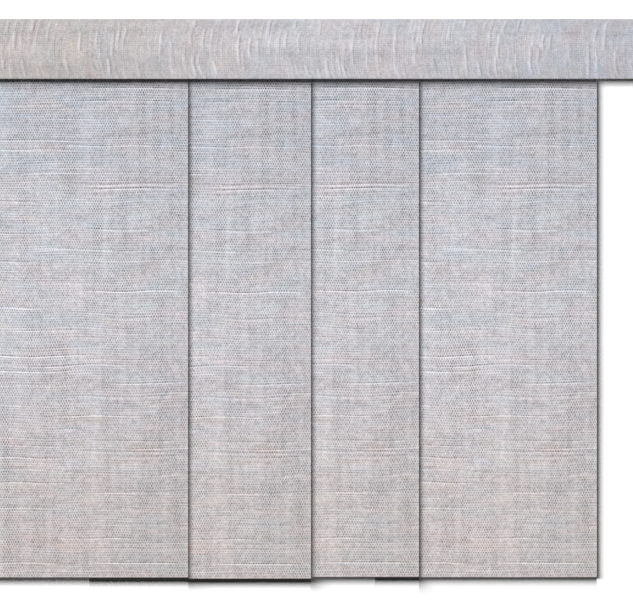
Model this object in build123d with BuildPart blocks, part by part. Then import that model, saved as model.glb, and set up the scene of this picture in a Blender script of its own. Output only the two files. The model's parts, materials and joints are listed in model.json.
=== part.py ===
from build123d import *
import os

# Sliding panel curtain: four cloth panels hang side by side from a four-channel track,
# behind a valance covered in the same cloth.
# Millimetres, +Z up, +X to the right seen from the room, +Y towards the wall, which is Y = 0.
# The origin is the middle of the centre bracket's screw holes, on the wall.

# Cloth
CLOTH_T = 0.9
SLUB_PROUD = 0.5
SLUB_W = 2.8

# Panels, from the one nearest the room to the one nearest the wall
PANEL_W = 600.0
PANEL_RIGHT_EDGES = (-347.0, -15.0, 277.0, 758.0)
PANEL_BOTTOMS = (-1470.0, -1473.0, -1468.5, -1469.5)
PANEL_COUNT = len(PANEL_RIGHT_EDGES)

# Track, an aluminium extrusion with one channel for each panel
TRACK_L = 2200.0
TRACK_TOP = -30.0
TRACK_MID_Y = -43.0
PITCH = 18.0
WEB = 1.6
CHANNEL_W = PITCH - WEB
CHANNEL_H = 10.5
CHANNEL_FLOOR = 1.5
RUNNER_W = 1.0
RUNNER_H = 0.5
SLOT_W = 6.0
ROOF = 1.8
TRACK_D = PANEL_COUNT * PITCH + WEB
TRACK_FRONT = TRACK_MID_Y - TRACK_D / 2

# Hanging slot along the track's top, for the brackets' locking cams
HANG_LIP = 1.5
HANG_H = 3.4
HANG_W = 16.4
HANG_MOUTH = 10.0
BODY_TOP = TRACK_TOP - HANG_LIP - HANG_H
BODY_H = ROOF + CHANNEL_H + CHANNEL_FLOOR
TRACK_BOTTOM = BODY_TOP - BODY_H
FLOOR_TOP = TRACK_BOTTOM + CHANNEL_FLOOR

# Clip groove along the track's front, and the same groove along the valance board's back
GROOVE_REACH = 3.2
GROOVE_LIP = 1.4
GROOVE_NIB = 1.2
GROOVE_MID_Z = BODY_TOP - BODY_H / 2
GROOVE_H = BODY_H - 2 * GROOVE_LIP

# Wall brackets
BRACKET_XS = (-800.0, 0.0, 800.0)
BRACKET_W = 40.0
BRACKET_T = 2.5
BRACKET_TOP = 22.0
SHELF_REACH = 62.0
SCREW_SPACING = 25.0
SCREW_HOLE_R = 2.75
HUB_R = 5.0
HUB_GAP = 0.06

# Turn locks
LOCK_ARM = 24.0
LOCK_T = 2.0
LOCK_GAP = 0.1
LOCK_NECK = 6.0
CAM_L = 15.4
CAM_W = 9.0
CAM_CORNER = 2.2

# Valance and its returns to the wall
VALANCE_TOP = 40.0
VALANCE_H = 162.0
VALANCE_L = 2224.0
SKIN_T = 0.8
BOARD_TOP = VALANCE_TOP - SKIN_T
BOARD_BOTTOM = VALANCE_TOP - VALANCE_H + SKIN_T
BOARD_MID_Z = (BOARD_TOP + BOARD_BOTTOM) / 2
BOARD_BACK = -88.5
BOARD_EDGE_T = 4.0
BOARD_CROWN = 6.0
BOW_FLATS = 6
TURN_IN = 15.0
RETURN_T = 8.0
RETURN_FRONT = -86.8
RETURN_BACK = -1.8

# Corner braces
BRACE_LEG = 20.0
BRACE_T = 1.5
BRACE_TOP = 18.0
BRACE_H = 36.0
BRACE_HOLE_R = 1.8
BRACE_HOLE_Z = 0.0
BRACE_HOLE_OUT = 12.5

# Valance clips
CLIP_XS = (-700.0, 120.0, 700.0)
CLIP_L = 24.0
CLIP_PLATE_T = 1.6
CLIP_FIT = 0.1

# Gliders
GLIDER_L = 30.0
GLIDER_INSET = 4.0
GLIDER_W = 15.4
GLIDER_H = 8.0
GLIDER_NECK = 4.6
GLIDER_LIFT = 0.15
COLLAR_T = 1.6
COLLAR_W = 8.2
FOOT_W = 6.0
FOOT_H = 2.6
FOOT_L = 24.0

# Carriers, the aluminium rails that the cloths hang from
CARRIER_D = 9.0
CARRIER_H = 28.0
CARRIER_END = 2.0
CARRIER_TOP = TRACK_BOTTOM - 0.5 - COLLAR_T
CARRIER_LIP = 1.4
CARRIER_WALL = 1.2
CARRIER_MOUTH = 4.9
CARRIER_SLOT_H = 3.4
TAPE_T = 1.2
TAPE_H = 24.0
CLOTH_TOP = CARRIER_TOP - 1.0

# Weighted hem
BAR_T = 3.0
BAR_H = 24.0
BAR_END = 4.0
POCKET_H = 27.0
POCKET_FIT = 0.05

# Thick places in the cross yarns: height above the panel's bottom, start from its left edge, length
PANEL_SLUBS = (
    (38, 20, 235), (38, 330, 240), (104, 250, 210), (142, 360, 200), (187, 40, 230),
    (229, 350, 220), (254, 90, 190), (289, 30, 240), (321, 60, 200), (338, 300, 270),
    (367, 340, 235), (437, 230, 250), (465, 20, 160), (487, 300, 280), (522, 390, 190),
    (557, 60, 230), (571, 170, 260), (597, 30, 330), (663, 120, 210), (703, 340, 240),
    (727, 30, 180), (773, 310, 280), (852, 30, 170), (884, 220, 200), (927, 40, 220),
    (939, 320, 180), (1014, 30, 170), (1048, 330, 250), (1059, 300, 280), (1092, 130, 220),
    (1154, 20, 300), (1166, 240, 340), (1179, 60, 250), (1276, 40, 240), (1284, 300, 270),
    (1319, 330, 240),
)  # fmt: skip

# The same yarns stand upright on the valance: distance right of its middle, top, length
VALANCE_SLUBS = (
    (-980, 22, 60), (-838, 16, 58), (-678, -52, 60), (-615, 26, 70), (-425, 0, 74),
    (-325, 34, 70), (-180, -20, 62), (-62, 10, 76), (104, 28, 74), (226, 34, 80),
    (438, 30, 84), (546, 16, 78), (655, 24, 80), (720, -24, 66), (810, 12, 84),
    (980, -10, 66),
)  # fmt: skip


def channel_y(channel):
    return TRACK_MID_Y + (channel - (PANEL_COUNT - 1) / 2) * PITCH


def slub(across, up, length, turn):
    """The outline of one thick yarn, from its starting point: thickest in the middle third."""
    half = SLUB_W / 2
    with Locations(Location((across, up, 0), (0, 0, turn))):
        Polygon((0, 0), (length / 3, -half), (length, 0), (length * 2 / 3, half), align=None)


def save(piece, name):
    piece.part.label = name
    export_step(piece.part, f"parts/{name}.step")


# Track and what closes its ends


def track():
    with BuildPart() as extrusion:
        with BuildSketch(Plane.YZ.offset(-TRACK_L / 2)):
            with Locations((TRACK_MID_Y, BODY_TOP - BODY_H / 2)):
                Rectangle(TRACK_D, BODY_H)
            with Locations((TRACK_MID_Y, (TRACK_TOP + BODY_TOP) / 2)):
                Rectangle(HANG_W + 2 * WEB, TRACK_TOP - BODY_TOP)
                Rectangle(HANG_MOUTH, TRACK_TOP - BODY_TOP, mode=Mode.SUBTRACT)
            with Locations((TRACK_MID_Y, BODY_TOP + HANG_H / 2)):
                Rectangle(HANG_W, HANG_H, mode=Mode.SUBTRACT)
            for channel in range(PANEL_COUNT):
                middle = channel_y(channel)
                with Locations((middle, FLOOR_TOP + CHANNEL_H / 2)):
                    Rectangle(CHANNEL_W, CHANNEL_H, mode=Mode.SUBTRACT)
                with Locations((middle, TRACK_BOTTOM + CHANNEL_FLOOR / 2)):
                    Rectangle(SLOT_W, CHANNEL_FLOOR, mode=Mode.SUBTRACT)
                runner = (SLOT_W + RUNNER_W) / 2
                with Locations(
                    (middle - runner, FLOOR_TOP + RUNNER_H / 2),
                    (middle + runner, FLOOR_TOP + RUNNER_H / 2),
                ):
                    Rectangle(RUNNER_W, RUNNER_H)
            with Locations((TRACK_FRONT - GROOVE_REACH / 2, GROOVE_MID_Z)):
                Rectangle(GROOVE_REACH, BODY_H)
                Rectangle(GROOVE_REACH, GROOVE_H - 2 * GROOVE_NIB, mode=Mode.SUBTRACT)
            with Locations((TRACK_FRONT - (GROOVE_REACH - GROOVE_NIB) / 2, GROOVE_MID_Z)):
                Rectangle(GROOVE_REACH - GROOVE_NIB, GROOVE_H, mode=Mode.SUBTRACT)
        extrude(amount=TRACK_L)
        outer = extrusion.edges().filter_by(Axis.X).group_by(Axis.Z)[-1]
        chamfer(outer, 0.4)
    return extrusion


def track_end_cap(side):
    """A moulded cap: a plate with a bumper for every channel, where the gliders stop."""
    plate_t = 2.0
    bumper_l = 8.0
    bumper_gap = 0.4
    end = side * TRACK_L / 2
    with BuildPart() as cap:
        with BuildSketch(Plane.YZ.offset(end)):
            with Locations((TRACK_MID_Y, BODY_TOP - BODY_H / 2)):
                Rectangle(TRACK_D, BODY_H)
            with Locations((TRACK_MID_Y, (TRACK_TOP + BODY_TOP) / 2)):
                Rectangle(HANG_W + 2 * WEB, TRACK_TOP - BODY_TOP)
        extrude(amount=side * plate_t)
        outer = cap.faces().sort_by(Axis.X)[-1 if side > 0 else 0].edges()
        chamfer(outer, 0.6)
        with BuildSketch(Plane.YZ.offset(end)):
            for channel in range(PANEL_COUNT):
                with Locations((channel_y(channel), FLOOR_TOP + RUNNER_H + CHANNEL_H / 2)):
                    Rectangle(CHANNEL_W - 2 * bumper_gap, CHANNEL_H - 2 * bumper_gap - 2 * RUNNER_H)
        extrude(amount=-side * bumper_l)
    return cap


# Wall brackets and the locks that hold the track up to them


def wall_bracket(x):
    """A pressed steel angle with side webs: holes in the wall leg, a hub hole in the shelf."""
    web_reach = 30.0
    web_rise = 24.0
    corner = 5.0
    low = x - BRACKET_W / 2
    with BuildPart() as bracket:
        with BuildSketch(Plane.YZ.offset(low)):
            with BuildLine():
                FilletPolyline(
                    (0, BRACKET_TOP),
                    (0, TRACK_TOP),
                    (-SHELF_REACH, TRACK_TOP),
                    radius=BRACKET_T + 1.5,
                )
                offset(amount=BRACKET_T, side=Side.RIGHT)
            make_face()
        extrude(amount=BRACKET_W)
        shelf_corners = bracket.edges().filter_by(Axis.Z).group_by(Axis.Y)[0]
        top_corners = bracket.edges().filter_by(Axis.Y).group_by(Axis.Z)[-1]
        chamfer(shelf_corners + top_corners, corner)
        for web_x in (low, x + BRACKET_W / 2 - BRACKET_T):
            with BuildSketch(Plane.YZ.offset(web_x)):
                with BuildLine():
                    Polyline(
                        (-1.0, TRACK_TOP + 4.0),
                        (-4.0, TRACK_TOP + 1.0),
                        (-web_reach, TRACK_TOP + 1.0),
                        (-web_reach, TRACK_TOP + BRACKET_T + 1.0),
                        (-BRACKET_T - 1.0, TRACK_TOP + BRACKET_T + web_rise),
                        (-1.0, TRACK_TOP + BRACKET_T + web_rise),
                        close=True,
                    )
                make_face()
            extrude(amount=BRACKET_T)
        with BuildSketch(Plane.XZ.offset(SHELF_REACH)):
            with Locations((x, 0)):
                with GridLocations(0, SCREW_SPACING, 1, 2):
                    Circle(SCREW_HOLE_R)
        extrude(amount=-SHELF_REACH, mode=Mode.SUBTRACT)
        with BuildSketch(Plane.XY.offset(TRACK_TOP)):
            with Locations((x, TRACK_MID_Y)):
                Circle(HUB_R + HUB_GAP)
        extrude(amount=BRACKET_T, mode=Mode.SUBTRACT)
    return bracket


def turn_lock(x):
    """A quarter-turn lock, shut: its arm lies along the track and its cam lies across the slot."""
    shelf_top = TRACK_TOP + BRACKET_T
    arm_z = shelf_top + LOCK_GAP
    cam_top = TRACK_TOP - HANG_LIP - LOCK_GAP
    tip_r = 4.5
    with BuildPart() as lock:
        with BuildSketch(Plane.XY.offset(arm_z)):
            with Locations((x, TRACK_MID_Y)):
                Circle(HUB_R + 3.0)
            with Locations((x + LOCK_ARM, TRACK_MID_Y)):
                Circle(tip_r)
            make_hull()
        extrude(amount=LOCK_T)
        with BuildSketch(Plane.XY.offset(arm_z + LOCK_T)):
            with Locations((x + LOCK_ARM - 3.0, TRACK_MID_Y)):
                Rectangle(10.0, 3.0)
        extrude(amount=5.0, taper=6)
        with BuildSketch(Plane.XY.offset(arm_z)):
            with Locations((x, TRACK_MID_Y)):
                Circle(HUB_R)
        extrude(amount=TRACK_TOP - arm_z)
        with BuildSketch(Plane.XY.offset(TRACK_TOP)):
            with Locations((x, TRACK_MID_Y)):
                Rectangle(LOCK_NECK, LOCK_NECK)
        extrude(amount=cam_top - TRACK_TOP)
        with BuildSketch(Plane.XY.offset(cam_top)) as cam:
            with Locations((x, TRACK_MID_Y)):
                Rectangle(CAM_W, CAM_L)
            chamfer(cam.vertices(), CAM_CORNER)
        extrude(amount=-LOCK_T)
    return lock


# Valance


def board_section(x, grow=0.0):
    """The valance board's section: flat behind, with narrow flats along a bow in front."""
    edge_y = BOARD_BACK - BOARD_EDGE_T
    with BuildSketch(Plane.YZ.offset(x)) as section:
        with BuildLine():
            bow = ThreePointArc(
                (edge_y, BOARD_TOP),
                (edge_y - BOARD_CROWN, BOARD_MID_Z),
                (edge_y, BOARD_BOTTOM),
                mode=Mode.PRIVATE,
            )
            front = [bow @ (flat / BOW_FLATS) for flat in range(BOW_FLATS + 1)]
            Polyline(*front, (BOARD_BACK, BOARD_BOTTOM), (BOARD_BACK, BOARD_TOP), close=True)
        make_face()
        heights = section.vertices().group_by(Axis.Y)
        fillet(heights[0] + heights[-1], 1.2)
        if grow:
            offset(amount=grow)
    return section.sketch


def valance_board():
    lip_mid = BOARD_BACK + GROOVE_REACH / 2
    nib_y = BOARD_BACK + (GROOVE_REACH - GROOVE_NIB) / 2
    with BuildPart() as board:
        extrude(board_section(-VALANCE_L / 2), amount=VALANCE_L)
        with BuildSketch(Plane.YZ.offset(-TRACK_L / 2 + BRACE_LEG)):
            with Locations((lip_mid, GROOVE_MID_Z)):
                Rectangle(GROOVE_REACH, BODY_H)
                Rectangle(GROOVE_REACH, GROOVE_H - 2 * GROOVE_NIB, mode=Mode.SUBTRACT)
            with Locations((nib_y, GROOVE_MID_Z)):
                Rectangle(GROOVE_REACH - GROOVE_NIB, GROOVE_H, mode=Mode.SUBTRACT)
        extrude(amount=TRACK_L - 2 * BRACE_LEG)
        pilot_x = VALANCE_L / 2 - RETURN_T - BRACE_HOLE_OUT
        with BuildSketch(Plane.XZ.offset(-BOARD_BACK)):
            with Locations((-pilot_x, BRACE_HOLE_Z), (pilot_x, BRACE_HOLE_Z)):
                Circle(BRACE_HOLE_R)
        extrude(amount=5.0, mode=Mode.SUBTRACT)
    return board


def valance_fabric():
    """The cloth drawn over the board's front, ends and edges, and turned in behind them."""
    window_h = VALANCE_H - 2 * SKIN_T - 2 * TURN_IN
    end = VALANCE_L / 2
    with BuildPart() as slubs:
        with BuildSketch(Plane.XZ.offset(-BOARD_BACK)):
            for across, top, length in VALANCE_SLUBS:
                slub(across, top, length, -90 + 3 * (across % 3 - 1))
        extrude(amount=2 * (BOARD_CROWN + BOARD_EDGE_T))
        extrude(board_section(-end, SKIN_T + SLUB_PROUD), amount=2 * end, mode=Mode.INTERSECT)
    with BuildPart() as skin:
        extrude(board_section(-end - SKIN_T, SKIN_T), amount=VALANCE_L + 2 * SKIN_T)
        add(slubs.part)
        extrude(board_section(-end), amount=VALANCE_L, mode=Mode.SUBTRACT)
        with BuildSketch(Plane.XZ.offset(-BOARD_BACK)):
            with Locations((0, BOARD_MID_Z)):
                Rectangle(VALANCE_L, window_h)
        extrude(amount=-2 * SKIN_T, mode=Mode.SUBTRACT)
    return skin


def return_board(side):
    inner = side * (VALANCE_L / 2 - RETURN_T)
    mid_y = (RETURN_FRONT + RETURN_BACK) / 2
    with BuildPart() as board:
        with BuildSketch(Plane.YZ.offset(inner)):
            with Locations((mid_y, BOARD_MID_Z)):
                Rectangle(RETURN_BACK - RETURN_FRONT, BOARD_TOP - BOARD_BOTTOM)
        extrude(amount=side * RETURN_T)
        with BuildSketch(Plane.YZ.offset(inner)):
            with Locations((BOARD_BACK + BRACE_HOLE_OUT, BRACE_HOLE_Z)):
                Circle(BRACE_HOLE_R)
        extrude(amount=side * 5.0, mode=Mode.SUBTRACT)
    return board


def return_fabric(side):
    """Cloth round the outer face and all four edges of a return, turned in top and bottom."""
    inner = side * (VALANCE_L / 2 - RETURN_T)
    mid_y = (RETURN_FRONT + RETURN_BACK) / 2
    board_d = RETURN_BACK - RETURN_FRONT
    board_h = BOARD_TOP - BOARD_BOTTOM
    with BuildPart() as skin:
        with BuildSketch(Plane.YZ.offset(inner - side * SKIN_T)):
            with Locations((mid_y, BOARD_MID_Z)):
                Rectangle(board_d + 2 * SKIN_T, board_h + 2 * SKIN_T)
        extrude(amount=side * (RETURN_T + 2 * SKIN_T))
        with BuildSketch(Plane.YZ.offset(inner)):
            with Locations((mid_y, BOARD_MID_Z)):
                Rectangle(board_d, board_h)
        extrude(amount=side * RETURN_T, mode=Mode.SUBTRACT)
        with BuildSketch(Plane.YZ.offset(inner - side * SKIN_T)):
            with Locations((mid_y, BOARD_MID_Z)):
                Rectangle(board_d + 4 * SKIN_T, board_h - 2 * TURN_IN)
        extrude(amount=side * SKIN_T, mode=Mode.SUBTRACT)
    return skin


def corner_brace(side):
    corner_x = side * (VALANCE_L / 2 - RETURN_T)
    with BuildPart() as brace:
        with BuildSketch(Plane.XY.offset(BRACE_TOP)):
            with BuildLine():
                FilletPolyline(
                    (corner_x - side * BRACE_LEG, BOARD_BACK),
                    (corner_x, BOARD_BACK),
                    (corner_x, BOARD_BACK + BRACE_LEG),
                    radius=BRACE_T + 1.0,
                )
                offset(amount=BRACE_T, side=Side.LEFT if side > 0 else Side.RIGHT)
            make_face()
        extrude(amount=-BRACE_H)
        with BuildSketch(Plane.XZ.offset(-BOARD_BACK)):
            with Locations((corner_x - side * BRACE_HOLE_OUT, BRACE_HOLE_Z)):
                Circle(BRACE_HOLE_R)
        extrude(amount=-BRACE_T, mode=Mode.SUBTRACT)
        with BuildSketch(Plane.YZ.offset(corner_x)):
            with Locations((BOARD_BACK + BRACE_HOLE_OUT, BRACE_HOLE_Z)):
                Circle(BRACE_HOLE_R)
        extrude(amount=-side * BRACE_T, mode=Mode.SUBTRACT)
    return brace


def brace_screws():
    """Four hexagon-head screws, one for every leg of the two braces."""
    shank_r = BRACE_HOLE_R - 0.1
    shank_l = BRACE_T + 4.5
    head_r = 3.4
    head_h = 1.8
    seats = []
    for side in (-1, 1):
        corner_x = side * (VALANCE_L / 2 - RETURN_T)
        front = (corner_x - side * BRACE_HOLE_OUT, BOARD_BACK + BRACE_T, BRACE_HOLE_Z)
        flank = (corner_x - side * BRACE_T, BOARD_BACK + BRACE_HOLE_OUT, BRACE_HOLE_Z)
        seats.append(Plane(origin=front, z_dir=(0, 1, 0)))
        seats.append(Plane(origin=flank, z_dir=(-side, 0, 0)))
    with BuildPart() as screws:
        for seat in seats:
            with BuildSketch(seat):
                RegularPolygon(head_r, 6)
            extrude(amount=head_h)
            with BuildSketch(seat):
                Circle(shank_r)
            extrude(amount=-shank_l)
    return screws


def valance_clip(x):
    """An H-shaped clip: one plate snaps into the track's groove, the other into the board's."""
    plate_h = GROOVE_H - 2 * CLIP_FIT
    stem_h = 4.0
    back = TRACK_FRONT - CLIP_FIT
    front = BOARD_BACK + CLIP_FIT
    with BuildPart() as clip:
        with BuildSketch(Plane.YZ.offset(x - CLIP_L / 2)):
            with Locations(
                (back - CLIP_PLATE_T / 2, GROOVE_MID_Z),
                (front + CLIP_PLATE_T / 2, GROOVE_MID_Z),
            ):
                Rectangle(CLIP_PLATE_T, plate_h)
            with Locations(((back + front) / 2, GROOVE_MID_Z)):
                Rectangle(back - front, stem_h)
        extrude(amount=CLIP_L)
    return clip


# What each panel is made of


def panel_cloth(left, middle, bottom):
    """Cloth hung from its top tape, with its lower edge turned back and sewn into a pocket."""
    front = middle - CARRIER_D / 2 - 2 * TAPE_T - CLOTH_T
    inside = front + CLOTH_T
    back = inside + BAR_T + 2 * POCKET_FIT + CLOTH_T
    pocket_top = bottom + CLOTH_T + POCKET_H
    seam_top = pocket_top + 14.0
    with BuildPart() as cloth:
        with BuildSketch(Plane.YZ.offset(left)) as section:
            with Locations((front, CLOTH_TOP)):
                Rectangle(CLOTH_T, CLOTH_TOP - bottom - 3.0, align=(Align.MIN, Align.MAX))
            with BuildLine():
                Polyline(
                    (front, seam_top),
                    (front, bottom),
                    (back, bottom),
                    (back, pocket_top),
                    (inside + CLOTH_T, pocket_top + 7.0),
                    (inside + CLOTH_T, seam_top),
                    close=True,
                )
            make_face()
            fillet(section.vertices().group_by(Axis.Y)[0], 2.0)
            with BuildLine():
                Polyline(
                    (inside, bottom + CLOTH_T),
                    (back - CLOTH_T, bottom + CLOTH_T),
                    (back - CLOTH_T, pocket_top - 0.4),
                    (inside, pocket_top + 5.2),
                    close=True,
                )
            make_face(mode=Mode.SUBTRACT)
        extrude(amount=PANEL_W)
        with BuildSketch(Plane.XZ.offset(-front)):
            for rise, start, length in PANEL_SLUBS:
                slub(left + start, bottom + rise, length, 0.4 * (rise % 3 - 1))
        extrude(amount=SLUB_PROUD)
    return cloth


def carrier(left, middle):
    inner_w = CARRIER_D - 2 * CARRIER_WALL
    lower_h = CARRIER_H - CARRIER_LIP - CARRIER_SLOT_H - 2 * CARRIER_WALL
    slot_z = CARRIER_TOP - CARRIER_LIP - CARRIER_SLOT_H / 2
    lower_z = CARRIER_TOP - CARRIER_H + CARRIER_WALL + lower_h / 2
    with BuildPart() as rail:
        with BuildSketch(Plane.YZ.offset(left + CARRIER_END)):
            with Locations((middle, CARRIER_TOP - CARRIER_H / 2)):
                Rectangle(CARRIER_D, CARRIER_H)
            with Locations((middle, CARRIER_TOP - CARRIER_LIP / 2)):
                Rectangle(CARRIER_MOUTH, CARRIER_LIP, mode=Mode.SUBTRACT)
            with Locations((middle, slot_z)):
                Rectangle(inner_w, CARRIER_SLOT_H, mode=Mode.SUBTRACT)
            with Locations((middle, lower_z)):
                Rectangle(inner_w, lower_h, mode=Mode.SUBTRACT)
        extrude(amount=PANEL_W - 2 * CARRIER_END)
    return rail


def carrier_end_caps(left, middle):
    """Two moulded caps, each with a plug that fills the carrier's lower chamber."""
    plug_l = 10.0
    plug_fit = 0.1
    lower_h = CARRIER_H - CARRIER_LIP - CARRIER_SLOT_H - 2 * CARRIER_WALL
    lower_z = CARRIER_TOP - CARRIER_H + CARRIER_WALL + lower_h / 2
    with BuildPart() as caps:
        for side, edge in ((1, left), (-1, left + PANEL_W)):
            with BuildSketch(Plane.YZ.offset(edge)) as plate:
                with Locations((middle, CARRIER_TOP - CARRIER_H / 2)):
                    Rectangle(CARRIER_D, CARRIER_H)
                chamfer(plate.vertices(), 1.0)
            extrude(amount=side * CARRIER_END)
            with BuildSketch(Plane.YZ.offset(edge + side * CARRIER_END)):
                with Locations((middle, lower_z)):
                    Rectangle(CARRIER_D - 2 * CARRIER_WALL - 2 * plug_fit, lower_h - 2 * plug_fit)
            extrude(amount=side * plug_l)
    return caps


def tape(left, back):
    """A strip of hook or loop tape along the top of the panel."""
    with BuildPart() as strip:
        with BuildSketch(Plane.XZ.offset(-back)):
            with Locations((left + PANEL_W / 2, CLOTH_TOP - 1.0 - TAPE_H / 2)):
                Rectangle(PANEL_W - 2 * CARRIER_END, TAPE_H)
        extrude(amount=TAPE_T)
    return strip


def glider(centre_x, middle):
    """A sliding shoe on the channel's two runners, with a foot that hangs the carrier."""
    shoe_z = FLOOR_TOP + RUNNER_H + GLIDER_LIFT
    foot_z = CARRIER_TOP - CARRIER_LIP - 0.1
    with BuildPart() as shoe:
        with BuildSketch(Plane.XY.offset(shoe_z)) as sole:
            with Locations((centre_x, middle)):
                Rectangle(GLIDER_L, GLIDER_W)
            chamfer(sole.vertices(), 3.0)
        extrude(amount=GLIDER_H)
        chamfer(shoe.faces().sort_by(Axis.Z)[-1].edges(), 1.5)
        with BuildSketch(Plane.XY.offset(shoe_z)):
            with Locations((centre_x, middle)):
                Rectangle(FOOT_L, GLIDER_NECK)
        extrude(amount=foot_z - shoe_z)
        with BuildSketch(Plane.XY.offset(CARRIER_TOP)) as collar:
            with Locations((centre_x, middle)):
                Rectangle(GLIDER_L - 2.0, COLLAR_W)
            chamfer(collar.vertices(), 1.5)
        extrude(amount=COLLAR_T)
        with BuildSketch(Plane.XY.offset(foot_z)):
            with Locations((centre_x, middle)):
                Rectangle(FOOT_L, FOOT_W)
        extrude(amount=-FOOT_H)
    return shoe


def bottom_bar(left, front, bottom):
    with BuildPart() as bar:
        with BuildSketch(Plane.YZ.offset(left + BAR_END)):
            with Locations((front + BAR_T / 2, bottom + BAR_H / 2)):
                Rectangle(BAR_T, BAR_H)
        extrude(amount=PANEL_W - 2 * BAR_END)
    return bar


def bar_plugs(left, front, bottom):
    """Two rounded plastic tips at the ends of the bottom bar."""
    tip_l = 3.0
    with BuildPart() as tips:
        for side, face_x in ((-1, left + BAR_END), (1, left + PANEL_W - BAR_END)):
            with BuildSketch(Plane.YZ.offset(face_x)) as tip:
                with Locations((front + BAR_T / 2, bottom + BAR_H / 2)):
                    Rectangle(BAR_T, BAR_H)
                chamfer(tip.vertices(), 1.0)
            extrude(amount=side * tip_l)
    return tips


os.makedirs("parts", exist_ok=True)

save(track(), "track")
save(track_end_cap(-1), "track_end_cap_left")
save(track_end_cap(1), "track_end_cap_right")

for place, bracket_x in zip(("left", "centre", "right"), BRACKET_XS):
    save(wall_bracket(bracket_x), f"wall_bracket_{place}")
    save(turn_lock(bracket_x), f"turn_lock_{place}")

save(valance_board(), "valance_board")
save(valance_fabric(), "valance_fabric")
for place, side in (("left", -1), ("right", 1)):
    save(return_board(side), f"return_board_{place}")
    save(return_fabric(side), f"return_fabric_{place}")
    save(corner_brace(side), f"corner_brace_{place}")
save(brace_screws(), "brace_screws")
for number, clip_x in enumerate(CLIP_XS, 1):
    save(valance_clip(clip_x), f"valance_clip_{number}")

for channel, (right, bottom) in enumerate(zip(PANEL_RIGHT_EDGES, PANEL_BOTTOMS)):
    panel = f"panel_{channel + 1}"
    left = right - PANEL_W
    middle = channel_y(channel)
    hook_back = middle - CARRIER_D / 2
    bar_front = hook_back - 2 * TAPE_T + POCKET_FIT
    bar_bottom = bottom + CLOTH_T + 0.5
    glider_out = GLIDER_INSET + GLIDER_L / 2
    save(panel_cloth(left, middle, bottom), f"{panel}_fabric")
    save(carrier(left, middle), f"{panel}_carrier")
    save(carrier_end_caps(left, middle), f"{panel}_carrier_caps")
    save(tape(left, hook_back), f"{panel}_hook_tape")
    save(tape(left, hook_back - TAPE_T), f"{panel}_loop_tape")
    save(glider(left + glider_out, middle), f"{panel}_glider_left")
    save(glider(right - glider_out, middle), f"{panel}_glider_right")
    save(bottom_bar(left, bar_front, bar_bottom), f"{panel}_bottom_bar")
    save(bar_plugs(left, bar_front, bar_bottom), f"{panel}_bar_plugs")
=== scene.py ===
"""Looks of a sliding panel curtain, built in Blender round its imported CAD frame.

Lengths are metres unless a name ends in _mm. X runs to the right seen from the room, Y into the wall, Z up.
"""

import json
import logging
import math
from dataclasses import dataclass
from enum import Enum
from typing import Any

import bmesh
import bpy
import numpy as np
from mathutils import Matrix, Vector


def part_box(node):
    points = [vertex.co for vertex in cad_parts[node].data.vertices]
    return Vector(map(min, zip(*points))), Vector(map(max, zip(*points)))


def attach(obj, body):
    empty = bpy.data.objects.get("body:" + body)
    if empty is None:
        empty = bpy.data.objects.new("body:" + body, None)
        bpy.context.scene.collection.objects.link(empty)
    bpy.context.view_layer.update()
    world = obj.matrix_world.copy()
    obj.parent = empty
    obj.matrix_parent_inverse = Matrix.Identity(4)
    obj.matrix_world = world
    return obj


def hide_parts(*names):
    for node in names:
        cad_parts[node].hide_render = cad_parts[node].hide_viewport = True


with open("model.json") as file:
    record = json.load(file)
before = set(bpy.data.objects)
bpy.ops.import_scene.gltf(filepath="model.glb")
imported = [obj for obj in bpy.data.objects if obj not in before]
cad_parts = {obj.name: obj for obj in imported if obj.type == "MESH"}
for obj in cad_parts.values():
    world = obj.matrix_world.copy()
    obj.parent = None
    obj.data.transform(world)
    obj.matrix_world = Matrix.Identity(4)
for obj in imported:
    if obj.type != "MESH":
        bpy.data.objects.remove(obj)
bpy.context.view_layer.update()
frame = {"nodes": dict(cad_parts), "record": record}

LOG = logging.getLogger("panel_curtain")
MM = 0.001
TURN = 2 * math.pi

PANELS = (1, 2, 3, 4)
SLUB_PROUD = 0.5 * MM
PANEL_CLOTH_T = 0.9 * MM
VALANCE_CLOTH_T = 0.8 * MM
VALANCE_EDGE_DEPTH = 4.8 * MM
PATH_STEP = 0.15 * MM
CORNER_POINTS = 10
SHARP_BEND = 20.0
NEAR_BEND = 25

# The main slubs, in millimetres. On a panel, the same as in the CAD solid: up from its lower edge, in from its
# left edge, length. On the valance, where the CAD solid has fewer: place to the right, height of the upper
# end, length.
PANEL_SLUBS_MM = (
    (38, 20, 235), (38, 330, 240), (104, 250, 210), (142, 360, 200), (187, 40, 230),
    (229, 350, 220), (254, 90, 190), (289, 30, 240), (321, 60, 200), (338, 300, 270),
    (367, 340, 235), (437, 230, 250), (465, 20, 160), (487, 300, 280), (522, 390, 190),
    (557, 60, 230), (571, 170, 260), (597, 30, 330), (663, 120, 210), (703, 340, 240),
    (727, 30, 180), (773, 310, 280), (852, 30, 170), (884, 220, 200), (927, 40, 220),
    (939, 320, 180), (1014, 30, 170), (1048, 330, 250), (1059, 300, 280), (1092, 130, 220),
    (1154, 20, 300), (1166, 240, 340), (1179, 60, 250), (1276, 40, 240), (1284, 300, 270),
    (1319, 330, 240),
)
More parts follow.
